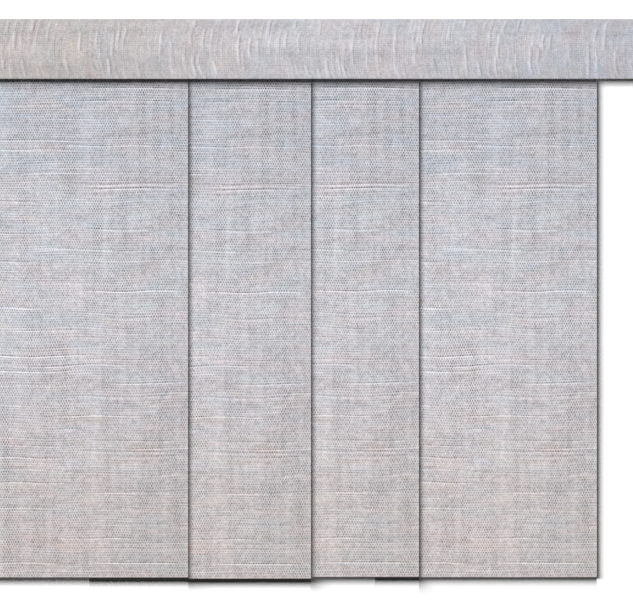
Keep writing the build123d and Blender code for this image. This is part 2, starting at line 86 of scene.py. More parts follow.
VALANCE_SLUBS_MM = (
    (-850, -71, 30), (-842, 37, 35), (-818, 8, 51), (-796, -71, 46), (-774, 37, 30), (-758, -90, 27),
    (-731, 37, 65), (-677, -60, 57), (-642, 8, 57), (-604, -92, 24), (-596, 8, 51), (-564, -65, 51),
    (-553, 8, 73), (-539, 10, 54), (-523, 21, 65), (-485, -82, 35), (-423, 8, 73), (-393, -17, 100),
    (-358, -28, 89), (-339, 37, 22), (-334, -60, 57), (-320, -60, 57), (-309, 16, 59), (-277, -71, 46),
    (-220, 37, 38), (-212, -6, 86), (-180, -6, 65), (-136, 37, 54), (-85, 5, 49), (-66, 37, 22),
    (-50, 5, 59), (-31, -82, 35), (1, 35, 43), (23, -71, 46), (58, -55, 62), (69, -82, 35), (96, 10, 103),
    (161, 35, 84), (209, 16, 132), (264, -22, 65), (280, 37, 68), (353, 24, 41), (391, 37, 27),
    (401, -30, 86), (434, -76, 41), (461, -82, 35), (480, -57, 59), (488, -1, 76), (499, 37, 41),
    (536, -55, 62), (536, 37, 35), (574, -33, 84), (582, 5, 41), (596, -38, 78), (609, -1, 43),
    (628, -1, 43), (731, -22, 95), (750, 16, 43), (774, 32, 76), (804, -44, 73),
)


def linear(colour: str) -> tuple[float, float, float, float]:
    """Turns an sRGB hex colour into linear light.

    Args:
        colour: Six hex digits with a leading hash.

    Returns:
        Red, green, blue and an alpha of 1.
    """
    parts = [int(colour[i : i + 2], 16) / 255 for i in (1, 3, 5)]
    light = [c / 12.92 if c <= 0.04045 else ((c + 0.055) / 1.055) ** 2.4 for c in parts]
    return (light[0], light[1], light[2], 1.0)


def add(tree: bpy.types.NodeTree, kind: str, inputs: dict | None = None, **settings: Any) -> bpy.types.Node:
    """Adds a node with its settings and its links.

    Args:
        tree: The tree that gets the node.
        kind: The node's type name.
        inputs: Each input's name or number, with its value or the socket that feeds it.
        settings: The node's own properties.

    Returns:
        The new node.
    """
    made = tree.nodes.new(kind)
    for key, value in settings.items():
        setattr(made, key, value)
    for key, value in (inputs or {}).items():
        if isinstance(value, bpy.types.NodeSocket):
            tree.links.new(value, made.inputs[key])
        else:
            made.inputs[key].default_value = value
    return made


# Finishes


@dataclass(frozen=True)
class Finish:
    """A surface finish: a named material whose nodes a subclass draws."""

    name: str

    def material(self) -> bpy.types.Material:
        """Builds the finish as a new material.

        Returns:
            The material, with its nodes in place.
        """
        made = bpy.data.materials.new(self.name)
        made.use_nodes = True
        tree = made.node_tree
        tree.nodes.clear()
        shader = add(tree, "ShaderNodeBsdfPrincipled")
        add(tree, "ShaderNodeOutputMaterial", {"Surface": shader.outputs[0]})
        self.draw(tree, shader)
        return made

    def draw(self, tree: bpy.types.NodeTree, shader: bpy.types.Node) -> None:
        """Draws the finish's own nodes.

        Args:
            tree: The material's node tree.
            shader: Its principled shader.
        """
        raise NotImplementedError


@dataclass(frozen=True)
class SlubCloth(Finish):
    """Polyester cloth in plain weave with slub cross yarns: matt, with dark gaps between pale yarns.

    The real threads are about 0.7 mm apart, too fine to show from a step away, so rows and dots are drawn
    at the coarser spacing that the eye makes of them.
    """

    row_pitch: float
    dot_pitch: float
    row_depth: float
    dot_depth: float
    end_depth: float
    fade: float
    yarn: float
    speckle: float
    blotch: float
    streak: float
    # How strongly each slub is painted: a pale tone on the yarn, partly its own and partly painted highlight,
    # and painted shade in the gap beside it.
    slub: float
    patch: float
    patch_mm: tuple[float, float]
    tones: tuple[tuple[float, str], ...]
    tone_span: tuple[float, float]
    # A grey ramp across shade_span that the colour is multiplied by: on the valance, painted shade at its
    # upper edge and painted light at its lower one; on a panel, darker towards the right edge.
    shades: tuple[tuple[float, float], ...]
    shade_span: tuple[float, float]
    roughness: float = 0.86
    ior: float = 1.5
    specular: float = 0.2
    sheen: float = 0.05
    sheen_roughness: float = 0.5
    bump: float = 0.35
    bump_depth: float = 0.6 * MM
    mean_tone: str = "#C3C1C3"
    # The pale tone added on each slub's yarn, partly the yarn's own and partly painted highlight, and taken
    # away in the gap beside it as painted shade.
    slub_tone_with_painted_light_and_shade: str = "#CACAD0"

    def draw(self, tree: bpy.types.NodeTree, shader: bpy.types.Node) -> None:
        """Draws rows, dots, streaks and tints on the cloth's own map, a grey ramp that on the valance is
        painted
        shade and light, and the slubs: a pale tone, partly the yarn's own and partly painted highlight, with
        painted shade in the gap beside each.

        Each noise has a start of its own, so that no two line up.

        Args:
            tree: The material's node tree.
            shader: Its principled shader.
        """
        shader.inputs["Roughness"].default_value = self.roughness
        shader.inputs["IOR"].default_value = self.ior
        shader.inputs["Specular IOR Level"].default_value = self.specular
        shader.inputs["Sheen Weight"].default_value = self.sheen
        shader.inputs["Sheen Roughness"].default_value = self.sheen_roughness
        cloth = add(tree, "ShaderNodeUVMap", uv_map="weave").outputs[0]
        axes = add(tree, "ShaderNodeSeparateXYZ", {0: cloth})
        along, across = axes.outputs[0], axes.outputs[1]

        def scaled(value: Any, by: Any) -> bpy.types.NodeSocket:
            """One value times another."""
            return add(tree, "ShaderNodeMath", {0: value, 1: by}, operation="MULTIPLY").outputs[0]

        def total(first: Any, *others: Any) -> bpy.types.NodeSocket:
            """The sum of some values."""
            for other in others:
                first = add(tree, "ShaderNodeMath", {0: first, 1: other}, operation="ADD").outputs[0]
            return first

        def wave(value: Any, turns: float) -> bpy.types.NodeSocket:
            """The cosine of a value counted in turns."""
            angle = scaled(value, TURN * turns)
            return add(tree, "ShaderNodeMath", {0: angle}, operation="COSINE").outputs[0]

        def noise(size_mm: tuple[float, float], detail: float, start: float) -> bpy.types.NodeSocket:
            """Draws a noise centred on 0.

            Args:
                size_mm: Its cells' size along and across the cross yarns.
                detail: How much finer noise it holds.
                start: Where it starts.

            Returns:
                The noise.
            """
            scale = (1 / (size_mm[0] * MM), 1 / (size_mm[1] * MM), 1.0)
            shift = (start, start, start)
            place = add(tree, "ShaderNodeMapping", {0: cloth, "Location": shift, "Scale": scale}).outputs[0]
            cells = add(tree, "ShaderNodeTexNoise", {"Vector": place, "Scale": 1.0, "Detail": detail})
            return total(cells.outputs[0], -0.5)

        rows = scaled(across, 1 / self.row_pitch)
        warp = noise((18, 420), 2.0, 11.3)
        dots_at = total(scaled(along, 1 / self.dot_pitch), scaled(noise((22, 15), 1.0, 3.1), 0.6))
        dots = scaled(wave(dots_at, 1.0), wave(rows, 0.5))
        dot_depth = total(1.0, scaled(warp, 3.0), scaled(noise((60, 50), 1.0, 17.7), 1.8))
        dots = scaled(dots, scaled(dot_depth, self.dot_depth))
        row_depth = total(1.0, scaled(noise((90, 30), 1.0, 23.9), 3.0))
        row_lines = scaled(wave(rows, 1.0), scaled(row_depth, -self.row_depth))
        end_lines = scaled(wave(dots_at, 1.0), scaled(row_depth, self.end_depth))
        low, high = self.tone_span
        tone_at = add(tree, "ShaderNodeMapRange", {0: across, 1: low, 2: high}).outputs[0]
        weave = scaled(total(row_lines, dots, end_lines), total(1.0 - self.fade, scaled(tone_at, self.fade)))

        dot_mm, row_mm = self.dot_pitch / MM, self.row_pitch / MM
        yarn_tone = scaled(noise((150, row_mm * 0.9), 2.0, 31.2), self.yarn)
        speckle = scaled(noise((dot_mm * 0.7, row_mm * 0.7), 0.0, 37.4), self.speckle)
        blotch = scaled(noise((18, 12), 2.0, 61.6), self.blotch)
        slub = add(tree, "ShaderNodeAttribute", attribute_name="slub").outputs["Fac"]
        patch = scaled(noise(self.patch_mm, 1.0, 71.9), self.patch)
        light = total(1.0, weave, yarn_tone, speckle, blotch, patch, scaled(warp, -self.streak))

        tone = add(tree, "ShaderNodeValToRGB", {0: tone_at})
        self._stops(tone.color_ramp, [(share, linear(colour)) for share, colour in self.tones])
        # The shade ramp: on the valance, painted shade at the upper edge and painted light at the lower,
        # against the shading that the light from above gives the bow; on a panel, darker towards the right
        # edge.
        shade_at = add(tree, "ShaderNodeMapRange", {0: along, 1: self.shade_span[0], 2: self.shade_span[1]})
        shade = add(tree, "ShaderNodeValToRGB", {0: shade_at.outputs[0]})
        self._stops(shade.color_ramp, [(share, (grey, grey, grey, 1.0)) for share, grey in self.shades])

        tint = add(tree, "ShaderNodeValToRGB", {0: total(noise(self.patch_mm, 2.5, 41.5), 0.5)})
        self._stops(
            tint.color_ramp,
            [(0.30, linear("#BCC2C8")), (0.5, linear(self.mean_tone)), (0.70, linear("#CABFC0"))],
        )
        moss = add(tree, "ShaderNodeValToRGB", {0: total(noise(self.patch_mm, 2.0, 53.8), 0.5)})
        self._stops(
            moss.color_ramp,
            [(0.34, linear("#C0C3C1")), (0.5, linear(self.mean_tone)), (0.66, linear("#C5C2BD"))],
        )
        even = add(tree, "ShaderNodeMix", {0: 0.5, 6: tint.outputs[0], 7: moss.outputs[0]}, data_type="RGBA")
        lift = tuple(1 / c for c in linear(self.mean_tone)[:3])
        tints = add(tree, "ShaderNodeVectorMath", {0: even.outputs[2], 1: lift}, operation="MULTIPLY")
        shaded = tone
        for factor in (tints, shade):
            pair = {0: shaded.outputs[0], 1: factor.outputs[0]}
            shaded = add(tree, "ShaderNodeVectorMath", pair, operation="MULTIPLY")
        woven = add(tree, "ShaderNodeVectorMath", {0: shaded.outputs[0], 3: light}, operation="SCALE")
        # Painted slubs: the slub field is above 0 on the raised yarn and below 0 in its gap, so this adds a
        # pale tone on the yarn, partly its own and partly painted highlight, and takes it away in the gap as
        # painted shade.
        raised = {0: linear(self.slub_tone_with_painted_light_and_shade)[:3], 3: scaled(slub, self.slub)}
        pale = add(tree, "ShaderNodeVectorMath", raised, operation="SCALE")
        colour = add(tree, "ShaderNodeVectorMath", {0: woven.outputs[0], 1: pale.outputs[0]}, operation="ADD")
        tree.links.new(colour.outputs[0], shader.inputs["Base Color"])
        relief = {"Strength": self.bump, "Distance": self.bump_depth, "Height": weave}
        bump = add(tree, "ShaderNodeBump", relief)
        tree.links.new(bump.outputs[0], shader.inputs["Normal"])

    @staticmethod
    def _stops(ramp: bpy.types.ColorRamp, stops: list[tuple[float, tuple]]) -> None:
        """Gives a ramp its stops.

        Args:
            ramp: The ramp, which starts with two stops.
            stops: Each stop's place from 0 to 1, and its linear colour.
        """
        while len(ramp.elements) < len(stops):
            ramp.elements.new(0.5)
        for element, (place, colour) in zip(ramp.elements, stops):
            element.position = place
            element.color = colour


@dataclass(frozen=True)
class Metal(Finish):
    """A metal with fine lines along one way and a slightly uneven gloss."""

    colour: str
    dull: str
    roughness: tuple[float, float]
    grain: tuple[float, float, float]
    depth: float
    cloud: float = 60.0
    bump: float = 0.4

    def draw(self, tree: bpy.types.NodeTree, shader: bpy.types.Node) -> None:
        """Draws grain in colour, gloss and height from the object's own place.

        Args:
            tree: The material's node tree.
            shader: Its principled shader.
        """
        shader.inputs["Metallic"].default_value = 1.0
        place = add(tree, "ShaderNodeTexCoord").outputs["Object"]
        grain_at = add(tree, "ShaderNodeMapping", {0: place, "Scale": self.grain}).outputs[0]
        grain = add(tree, "ShaderNodeTexNoise", {"Vector": grain_at, "Scale": 1.0, "Detail": 3.0}).outputs[0]
        cells = {"Vector": place, "Scale": self.cloud, "Detail": 2.0}
        cloud = add(tree, "ShaderNodeTexNoise", cells).outputs[0]
        colours = {0: cloud, 6: linear(self.colour), 7: linear(self.dull)}
        colour = add(tree, "ShaderNodeMix", colours, data_type="RGBA")
        tree.links.new(colour.outputs[2], shader.inputs["Base Color"])
        low, high = self.roughness
        gloss = add(tree, "ShaderNodeMapRange", {0: grain, 1: 0.3, 2: 0.7, 3: low, 4: high})
        tree.links.new(gloss.outputs[0], shader.inputs["Roughness"])
        bump = add(tree, "ShaderNodeBump", {"Strength": self.bump, "Distance": self.depth, "Height": grain})
        tree.links.new(bump.outputs[0], shader.inputs["Normal"])


@dataclass(frozen=True)
class Plastic(Finish):
    """A moulded or extruded plastic with the fine texture of its tool."""

    colour: str
    tint: str
    roughness: float
    texture_mm: float
    depth: float
    ior: float = 1.48
    cloud: float = 25.0
    uneven: float = 0.06
    bump: float = 0.3

    def draw(self, tree: bpy.types.NodeTree, shader: bpy.types.Node) -> None:
        """Draws a fine texture in height and a slow drift in colour from the object's own place.

        Args:
            tree: The material's node tree.
            shader: Its principled shader.
        """
        shader.inputs["IOR"].default_value = self.ior
        place = add(tree, "ShaderNodeTexCoord").outputs["Object"]
        cells = {"Vector": place, "Scale": self.cloud, "Detail": 3.0}
        cloud = add(tree, "ShaderNodeTexNoise", cells).outputs[0]
        colours = {0: cloud, 6: linear(self.colour), 7: linear(self.tint)}
        colour = add(tree, "ShaderNodeMix", colours, data_type="RGBA")
        tree.links.new(colour.outputs[2], shader.inputs["Base Color"])
        size = 1 / (self.texture_mm * MM)
        fine = add(tree, "ShaderNodeTexNoise", {"Vector": place, "Scale": size, "Detail": 1.0}).outputs[0]
        low, high = self.roughness - self.uneven, self.roughness + self.uneven
        gloss = add(tree, "ShaderNodeMapRange", {0: fine, 1: 0.3, 2: 0.7, 3: low, 4: high})
        tree.links.new(gloss.outputs[0], shader.inputs["Roughness"])
        bump = add(tree, "ShaderNodeBump", {"Strength": self.bump, "Distance": self.depth, "Height": fine})
        tree.links.new(bump.outputs[0], shader.inputs["Normal"])


@dataclass(frozen=True)
class Tape(Finish):
    """Woven fastening tape: cross ribs with a fuzz of hooks or loops."""

    colour: str
    shadow: str
    rib_mm: float
    fuzz_mm: float = 0.9
    roughness: float = 0.8
    ior: float = 1.53
    sheen: float = 0.25
    bump: float = 0.6
    depth: float = 0.4 * MM

    def draw(self, tree: bpy.types.NodeTree, shader: bpy.types.Node) -> None:
        """Draws ribs and fuzz in colour and height from the object's own place.

        Args:
            tree: The material's node tree.
            shader: Its principled shader.
        """
        shader.inputs["Roughness"].default_value = self.roughness
        shader.inputs["IOR"].default_value = self.ior
        shader.inputs["Sheen Weight"].default_value = self.sheen
        place = add(tree, "ShaderNodeTexCoord").outputs["Object"]
        ribs = add(
            tree,
            "ShaderNodeTexWave",
            {"Vector": place, "Scale": 1 / (self.rib_mm * MM) / TURN, "Distortion": 1.2, "Detail": 2.0},
            bands_direction="X",
        ).outputs["Fac"]
        cells = {"Vector": place, "Scale": 1 / (self.fuzz_mm * MM)}
        fuzz = add(tree, "ShaderNodeTexVoronoi", cells).outputs[0]
        mixed = add(tree, "ShaderNodeMath", {0: ribs, 1: fuzz}, operation="MULTIPLY").outputs[0]
        colours = {0: mixed, 6: linear(self.colour), 7: linear(self.shadow)}
        colour = add(tree, "ShaderNodeMix", colours, data_type="RGBA")
        tree.links.new(colour.outputs[2], shader.inputs["Base Color"])
        bump = add(tree, "ShaderNodeBump", {"Strength": self.bump, "Distance": self.depth, "Height": mixed})
        tree.links.new(bump.outputs[0], shader.inputs["Normal"])


@dataclass(frozen=True)
class Thread(Finish):
    """Spun polyester sewing thread: a soft twist that catches the light."""

    colour: str
    shadow: str
    twist_mm: float = 0.5
    roughness: float = 0.55
    sheen: float = 0.2
    bump: float = 0.5
    depth: float = 0.1 * MM

    def draw(self, tree: bpy.types.NodeTree, shader: bpy.types.Node) -> None:
        """Draws the twist from the object's own place.

        Args:
            tree: The material's node tree.
            shader: Its principled shader.
        """
        shader.inputs["Roughness"].default_value = self.roughness
        shader.inputs["Sheen Weight"].default_value = self.sheen
        place = add(tree, "ShaderNodeTexCoord").outputs["Object"]
        bands = {"Vector": place, "Scale": 1 / (self.twist_mm * MM) / TURN}
        twist = add(tree, "ShaderNodeTexWave", bands, bands_direction="DIAGONAL").outputs["Fac"]
        colours = {0: twist, 6: linear(self.colour), 7: linear(self.shadow)}
        colour = add(tree, "ShaderNodeMix", colours, data_type="RGBA")
        tree.links.new(colour.outputs[2], shader.inputs["Base Color"])
        bump = add(tree, "ShaderNodeBump", {"Strength": self.bump, "Distance": self.depth, "Height": twist})
        tree.links.new(bump.outputs[0], shader.inputs["Normal"])


PANEL_H = 1.4182
PANEL_W = 0.6
VALANCE_HALF = 1.1128
VALANCE_H = 0.162

# Woven polyester, warm grey: matt, with a checked weave that fades towards the hem, cool and warm
# patches, and raised slubs: a pale tone on each, partly its own and partly painted highlight, with painted
# shade in the gap above it.
PANEL_CLOTH = SlubCloth(
    "slub_weave_polyester_panel_cloth",
    row_pitch=6.75 * MM,
    dot_pitch=6.6 * MM,
    row_depth=0.155,
    dot_depth=0.34,
    end_depth=0.0,
    fade=0.32,
    yarn=0.27,
    speckle=0.55,
    blotch=0.42,
    streak=0.42,
    slub=0.40,
    patch=0.30,
    patch_mm=(130.0, 32.0),
    tones=((0.0, "#C8C1C2"), (0.25, "#CAC4C7"), (0.5, "#CBC9CF"), (0.72, "#C5C4CB"), (1.0, "#BABBC4")),
    tone_span=(0.0, PANEL_H),
    shades=((0.0, 1.02), (0.5, 1.02), (1.0, 0.95)),
    shade_span=(0.0, PANEL_W),
)
# The same cloth turned a quarter and drawn tight over a bowed board: upright slubs painted as on the panels,
# a flatter weave, and painted shade and light that run from darker at the upper edge to lighter at the
# lower one, against the shading that the light from above gives the bow.
VALANCE_CLOTH = SlubCloth(
    "slub_weave_polyester_valance_cloth",
    row_pitch=6.2 * MM,
    dot_pitch=6.0 * MM,
    row_depth=0.05,
    dot_depth=0.04,
    end_depth=0.05,
    fade=0.0,
    yarn=0.22,
    speckle=0.45,
    blotch=0.34,
    streak=0.3,
    slub=0.28,
    patch=0.22,
    patch_mm=(70.0, 60.0),
    tones=((0.0, "#BFBAB9"), (0.15, "#C2BCBC"), (0.5, "#C9C7CD"), (0.85, "#BFBEC6"), (1.0, "#B8B9C3")),
    tone_span=(-VALANCE_HALF, VALANCE_HALF),
    shades=((0.0, 0.86), (0.16, 0.91), (0.5, 1.0), (0.84, 1.05), (1.0, 1.12)),
    shade_span=(0.02, 0.02 + VALANCE_H),
)
# Extruded and satin anodised: a soft pale sheen, drawn out into fine die lines along the extrusion.
ALUMINIUM = Metal(
    "extruded_anodised_aluminium",
    colour="#C8CBCE",
    dull="#B9BDC1",
    roughness=(0.32, 0.46),
    grain=(6.0, 900.0, 900.0),
    depth=0.03 * MM,
)
# Pressed and zinc plated: a darker, cloudier shine than aluminium, with no direction.
STEEL = Metal(
    "pressed_zinc_plated_steel",
    colour="#C3C6CA",
    dull="#ABAFB4",
    roughness=(0.30, 0.50),
    grain=(260.0, 260.0, 260.0),
    depth=0.05 * MM,
)
# Moulded in a polished tool: a clean milky white with a waxy shine.
ACETAL = Plastic("moulded_white_acetal", "#EDECE6", "#E4E2D9", 0.34, 0.5, 0.02 * MM)
# Moulded in a spark-textured tool: mid grey, with a fine grain that breaks up the shine.
GREY_NYLON = Plastic("moulded_grey_nylon", "#8F9295", "#83868A", 0.5, 0.6, 0.05 * MM)
# Extruded foamed vinyl: off-white, dull, with the faint pebbling of closed cells under its skin.
FOAM_BOARD = Plastic("extruded_foamed_vinyl_board", "#E6E5E0", "#DCDAD3", 0.58, 1.1, 0.08 * MM)
# Woven nylon: off-white cross ribs under a fuzz of hooks or loops that keeps it from shining.
HOOK_TAPE = Tape("woven_nylon_hook_and_loop_tape", "#E6E5E1", "#B9B8B3", 1.6)
# Spun polyester: a shade lighter than the cloth, with a twist that breaks each stitch into small lights.
THREAD = Thread("spun_polyester_sewing_thread", "#DAD8D8", "#B3B0B0")


class Slot(Enum):
    """The record's material slots, by the finish that each takes in Blender."""

    SLUB_CLOTH = "slub_cloth"
    WOVEN_TAPE = "woven_tape"
    ANODISED_ALUMINIUM = "anodised_aluminium"
    PLATED_STEEL = "plated_steel"
    WHITE_PLASTIC = "white_plastic"
    GREY_PLASTIC = "grey_plastic"
    FOAM_BOARD = "foam_board"


FINISH_OF_SLOT = {
    Slot.WOVEN_TAPE: HOOK_TAPE,
    Slot.ANODISED_ALUMINIUM: ALUMINIUM,
    Slot.PLATED_STEEL: STEEL,
    Slot.WHITE_PLASTIC: ACETAL,
    Slot.GREY_PLASTIC: GREY_NYLON,
    Slot.FOAM_BOARD: FOAM_BOARD,
}


# Shapes


@dataclass(frozen=True)
class Drift:
    """A slow random wave field over a cloth, the same each run."""

    seed: int
    reach: float
    along: float
    across: float
    waves: int = 7

    def at(self, along: np.ndarray, across: np.ndarray) -> np.ndarray:
        """Reads the field.

        Args:
            along: Places along the cross yarns.
            across: Places across them.

        Returns:
            The field there, within about its reach.
        """
        random = np.random.default_rng(self.seed)
        field = np.zeros(np.broadcast(along, across).shape)
        for _ in range(self.waves):
            turn_along, turn_across = random.normal(0.0, 1.0, 2)
            start = random.uniform(0, TURN)
            turns = along * turn_along / self.along + across * turn_across / self.across
            field = field + np.cos(TURN * turns + start)
        return field * self.reach / math.sqrt(self.waves)


@dataclass(frozen=True)
class Slub:
    """One thick place in a cross yarn: its place across the cloth, and its start and length along it."""

    across: float
    start: float
    length: float
    strength: float
    size: float = 1.0
    gap: float = 1.0
    lean: float = 0.0
    sway: float = 0.0
    sway_length: float = 0.25
    sway_start: float = 0.0

    def relief(self, along: np.ndarray, across: np.ndarray) -> np.ndarray:
        """Its relief: raised along the yarn, with the gap that it opens beside it.

        Args:
            along: Places along the cross yarns.
            across: Places across them.

        Returns:
            The relief, where 1 is the yarn's full height and below 0 is the gap.
        """
        share = np.clip((along - self.start) / self.length, 0, 1)
        body = np.clip(np.sin(share * math.pi) * 2.2, 0, 1) ** 0.7
        line = self.across + self.lean * (along - self.start - self.length / 2)
        line = line + self.sway * np.sin(TURN * along / self.sway_length + self.sway_start)
        off = (across - line) / (self.size * MM)
        ridge = np.exp(-((off / np.where(off > 0, 1.5, 2.4)) ** 2))
        gap = self.gap * np.exp(-(((off - 3.1) / 1.3) ** 2))
        return self.strength * body * (ridge - gap)

    @property
    def reach(self) -> float:
        """How far its relief goes to each side of its own line."""
        return 9 * MM * self.size + abs(self.lean) * self.length / 2 + self.sway


def slub_field(slubs: list[Slub], along: np.ndarray, across: np.ndarray) -> np.ndarray:
    """Adds up the relief of many slubs over a grid.

    Args:
        slubs: The thick places.
        along: A grid of places along the cross yarns.
        across: The same grid's places across them.

    Returns:
        The relief over the grid.
    """
    field = np.zeros(np.broadcast(along, across).shape)
    for slub in slubs:
        near = np.abs(across - slub.across) < slub.reach
        near &= (along > slub.start) & (along < slub.start + slub.length)
        rows = near.any(axis=1)
        columns = near.any(axis=0)
        if rows.any() and columns.any():
            block = np.ix_(rows, columns)
            field[block] += slub.relief(along[block], across[block])
    return field


def rounded(corners: list[tuple[float, float, float]], step: float) -> np.ndarray:
    """Rounds a polyline's corners and samples it finely.

    Args:
        corners: Each corner's place, and the radius that rounds it or 0.
        step: The spacing of the samples.

    Returns:
        An array of points along the path.
    """
    points: list[np.ndarray] = []
    for number, (a, b, radius) in enumerate(corners):
        here = np.array((a, b))
        if radius == 0 or number in (0, len(corners) - 1):
            points.append(here)
            continue
        back = np.array(corners[number - 1][:2]) - here
        on = np.array(corners[number + 1][:2]) - here
        back /= np.linalg.norm(back)
        on /= np.linalg.norm(on)
        half = math.acos(float(np.clip(back @ on, -1, 1))) / 2
        reach = radius / math.tan(half)
        middle = (back + on) / np.linalg.norm(back + on)
        centre = here + middle * radius / math.sin(half)
        first = here + back * reach - centre
        last = here + on * reach - centre
        sweep = math.pi - 2 * half
        for share in np.linspace(0, 1, CORNER_POINTS):
            turned = first * math.sin((1 - share) * sweep) + last * math.sin(share * sweep)
            points.append(centre + turned / math.sin(sweep))
    line = np.array(points)
    gaps = np.linalg.norm(np.diff(line, axis=0), axis=1)
    length = np.concatenate([[0], np.cumsum(gaps)])
    fine = np.linspace(0, length[-1], max(2, int(length[-1] / step)))
    return np.stack([np.interp(fine, length, line[:, 0]), np.interp(fine, length, line[:, 1])], axis=1)


@dataclass
class Ribbon:
    """Cloth of one thickness that follows a path in a section, its outer side away from the middle.

    A bend is where the path turns by more than SHARP_BEND radians a metre, and NEAR_BEND of its samples round
    a bend count as near it.
    """

    path: np.ndarray
    thickness: float

    def __post_init__(self) -> None:
        """Measures the path and finds which way is out along it."""
        gaps = np.linalg.norm(np.diff(self.path, axis=0), axis=1)
        self.length = np.concatenate([[0], np.cumsum(gaps)])
        ahead = np.gradient(self.path, axis=0)
        ahead /= np.linalg.norm(ahead, axis=1)[:, None]
        out = np.stack([ahead[:, 1], -ahead[:, 0]], axis=1)
        self.out = out * np.sign(np.sum((self.path - self.path.mean(axis=0)) * out))
        heading = np.unwrap(np.arctan2(ahead[:, 1], ahead[:, 0]))
        bend = np.abs(np.gradient(heading, self.length)) > SHARP_BEND
        self.near_bend = np.convolve(bend, np.ones(NEAR_BEND), "same") > 0

    @property
    def total(self) -> float:
        """The path's whole length."""
        return float(self.length[-1])

    def stations(self, step: float, bend_step: float) -> np.ndarray:
        """Chooses where rows of points stand along the path.

        Args:
            step: The spacing on straight runs.
            bend_step: The spacing round bends.

        Returns:
            Distances along the path, from 0 to its length.
        """
        density = np.where(self.near_bend, 1 / bend_step, 1 / step)
        steps = (density[1:] + density[:-1]) / 2 * np.diff(self.length)
        count = np.concatenate([[0], np.cumsum(steps)])
        wanted = np.linspace(0, count[-1], int(round(count[-1])) + 1)
        return np.interp(wanted, count, self.length)

    def side(self, stations: np.ndarray, way: int) -> np.ndarray:
        """Reads points on the outer or inner side.

        Args:
            stations: Distances along the path.
            way: 1 for the outer side, -1 for the inner.

        Returns:
            Points of the section.
        """
        edge = self.path + way * self.thickness / 2 * self.out
        return np.stack([np.interp(stations, self.length, edge[:, axis]) for axis in (0, 1)], axis=1)


def zipped(
    first: list[int], first_at: np.ndarray, second: list[int], second_at: np.ndarray
) -> list[tuple[int, ...]]:
    """Closes the strip between two rows of points with triangles.

    Args:
        first: Point numbers of one row.
        first_at: Their distances along the strip.
        second: Point numbers of the other row.
        second_at: Their distances along the strip.

    Returns:
        The triangles.
    """
    i, j, faces = 0, 0, []
    while i < len(first) - 1 or j < len(second) - 1:
        step_first = j == len(second) - 1 or (i < len(first) - 1 and first_at[i + 1] <= second_at[j + 1])
        if step_first:
            faces.append((first[i], first[i + 1], second[j]))
            i += 1
        else:
            faces.append((first[i], second[j + 1], second[j]))
            j += 1
    return faces


@dataclass
class ClothGrid:
    """A closed ribbon of cloth swept straight, with the facts that its weave is drawn from."""

    ribbon: Ribbon
    outer_at: np.ndarray
    inner_at: np.ndarray
    sweep: np.ndarray

    def __post_init__(self) -> None:
        """Lays out the rows: down the outer side and back along the inner."""
        self.row_at = np.concatenate([self.outer_at, self.inner_at[::-1]])
        outer = self.ribbon.side(self.outer_at, 1)
        inner = self.ribbon.side(self.inner_at, -1)[::-1]
        self.section = np.concatenate([outer, inner])
        self.is_outer = np.concatenate([np.ones(len(outer)), np.zeros(len(inner))])

    def object(
        self,
        name: str,
        points: np.ndarray,
        along: np.ndarray,
        across: np.ndarray,
        slub: np.ndarray,
        ribs: np.ndarray,
    ) -> bpy.types.Object:
        """Builds the mesh.

        Args:
            name: The object's name.
            points: Each row's and column's place.
            along: Each one's distance along its cross yarn.
            across: Each one's distance across the cross yarns.
            slub: Each one's slub relief.
            ribs: How much of the ribs each one takes, from 0 to 1.

        Returns:
            The object, at the origin.
        """
        rows, columns = points.shape[:2]
        index = np.arange(rows * columns).reshape(rows, columns)
        below = np.roll(index, -1, axis=0)
        quads = np.stack([index[:, :-1], below[:, :-1], below[:, 1:], index[:, 1:]], axis=-1).reshape(-1, 4)
        faces: list = quads.tolist()
        outer = len(self.outer_at)
        for column in (0, columns - 1):
            first = index[:outer, column].tolist()
            second = index[outer:, column][::-1].tolist()
            faces += zipped(first, self.outer_at, second, self.inner_at)
        mesh = bpy.data.meshes.new(name)
        mesh.from_pydata(points.reshape(-1, 3).tolist(), [], faces)
        for attribute, values in (("along", along), ("across", across), ("slub", slub), ("ribs", ribs)):
            layer = mesh.attributes.new(attribute, "FLOAT", "POINT")
            spread = np.broadcast_to(values, (rows, columns)).astype(np.float32)
            layer.data.foreach_set("value", spread.ravel())
        corner = np.zeros(len(mesh.loops), np.int32)
        mesh.loops.foreach_get("vertex_index", corner)
        weave = np.stack(
            [np.broadcast_to(v, (rows, columns)).ravel()[corner] for v in (along, across)], axis=1
        ).astype(np.float32)
        mesh.uv_layers.new(name="weave").data.foreach_set("uv", weave.ravel())
        mesh.shade_smooth()
        rim = {frozenset((index[row, end], below[row, end])) for row in range(rows) for end in (0, -1)}
        rim |= {frozenset(index[row, i : i + 2]) for row in (0, -1) for i in range(columns - 1)}
        mesh.edges.foreach_set("use_edge_sharp", [frozenset(edge.vertices) in rim for edge in mesh.edges])
        outward(mesh)
        made = bpy.data.objects.new(name, mesh)
        bpy.context.scene.collection.objects.link(made)
        return made


def outward(mesh: bpy.types.Mesh) -> None:
    """Turns a closed mesh's faces outwards.

    Args:
        mesh: The mesh.
    """
    shape = bmesh.new()
    shape.from_mesh(mesh)
    bmesh.ops.recalc_face_normals(shape, faces=shape.faces)
    shape.to_mesh(mesh)
    shape.free()


# Geometry Nodes trees

THICKENINGS = 12.0
BEAD_SEGMENTS = 6
BEAD_RINGS = 5
STITCH_LEAST = (0.9, 0.9, 0.88)
STITCH_MOST = (1.1, 1.1, 1.06)


@dataclass(frozen=True)
class TreeInput:
    """A named input of a Geometry Nodes tree."""

    name: str
    kind: str


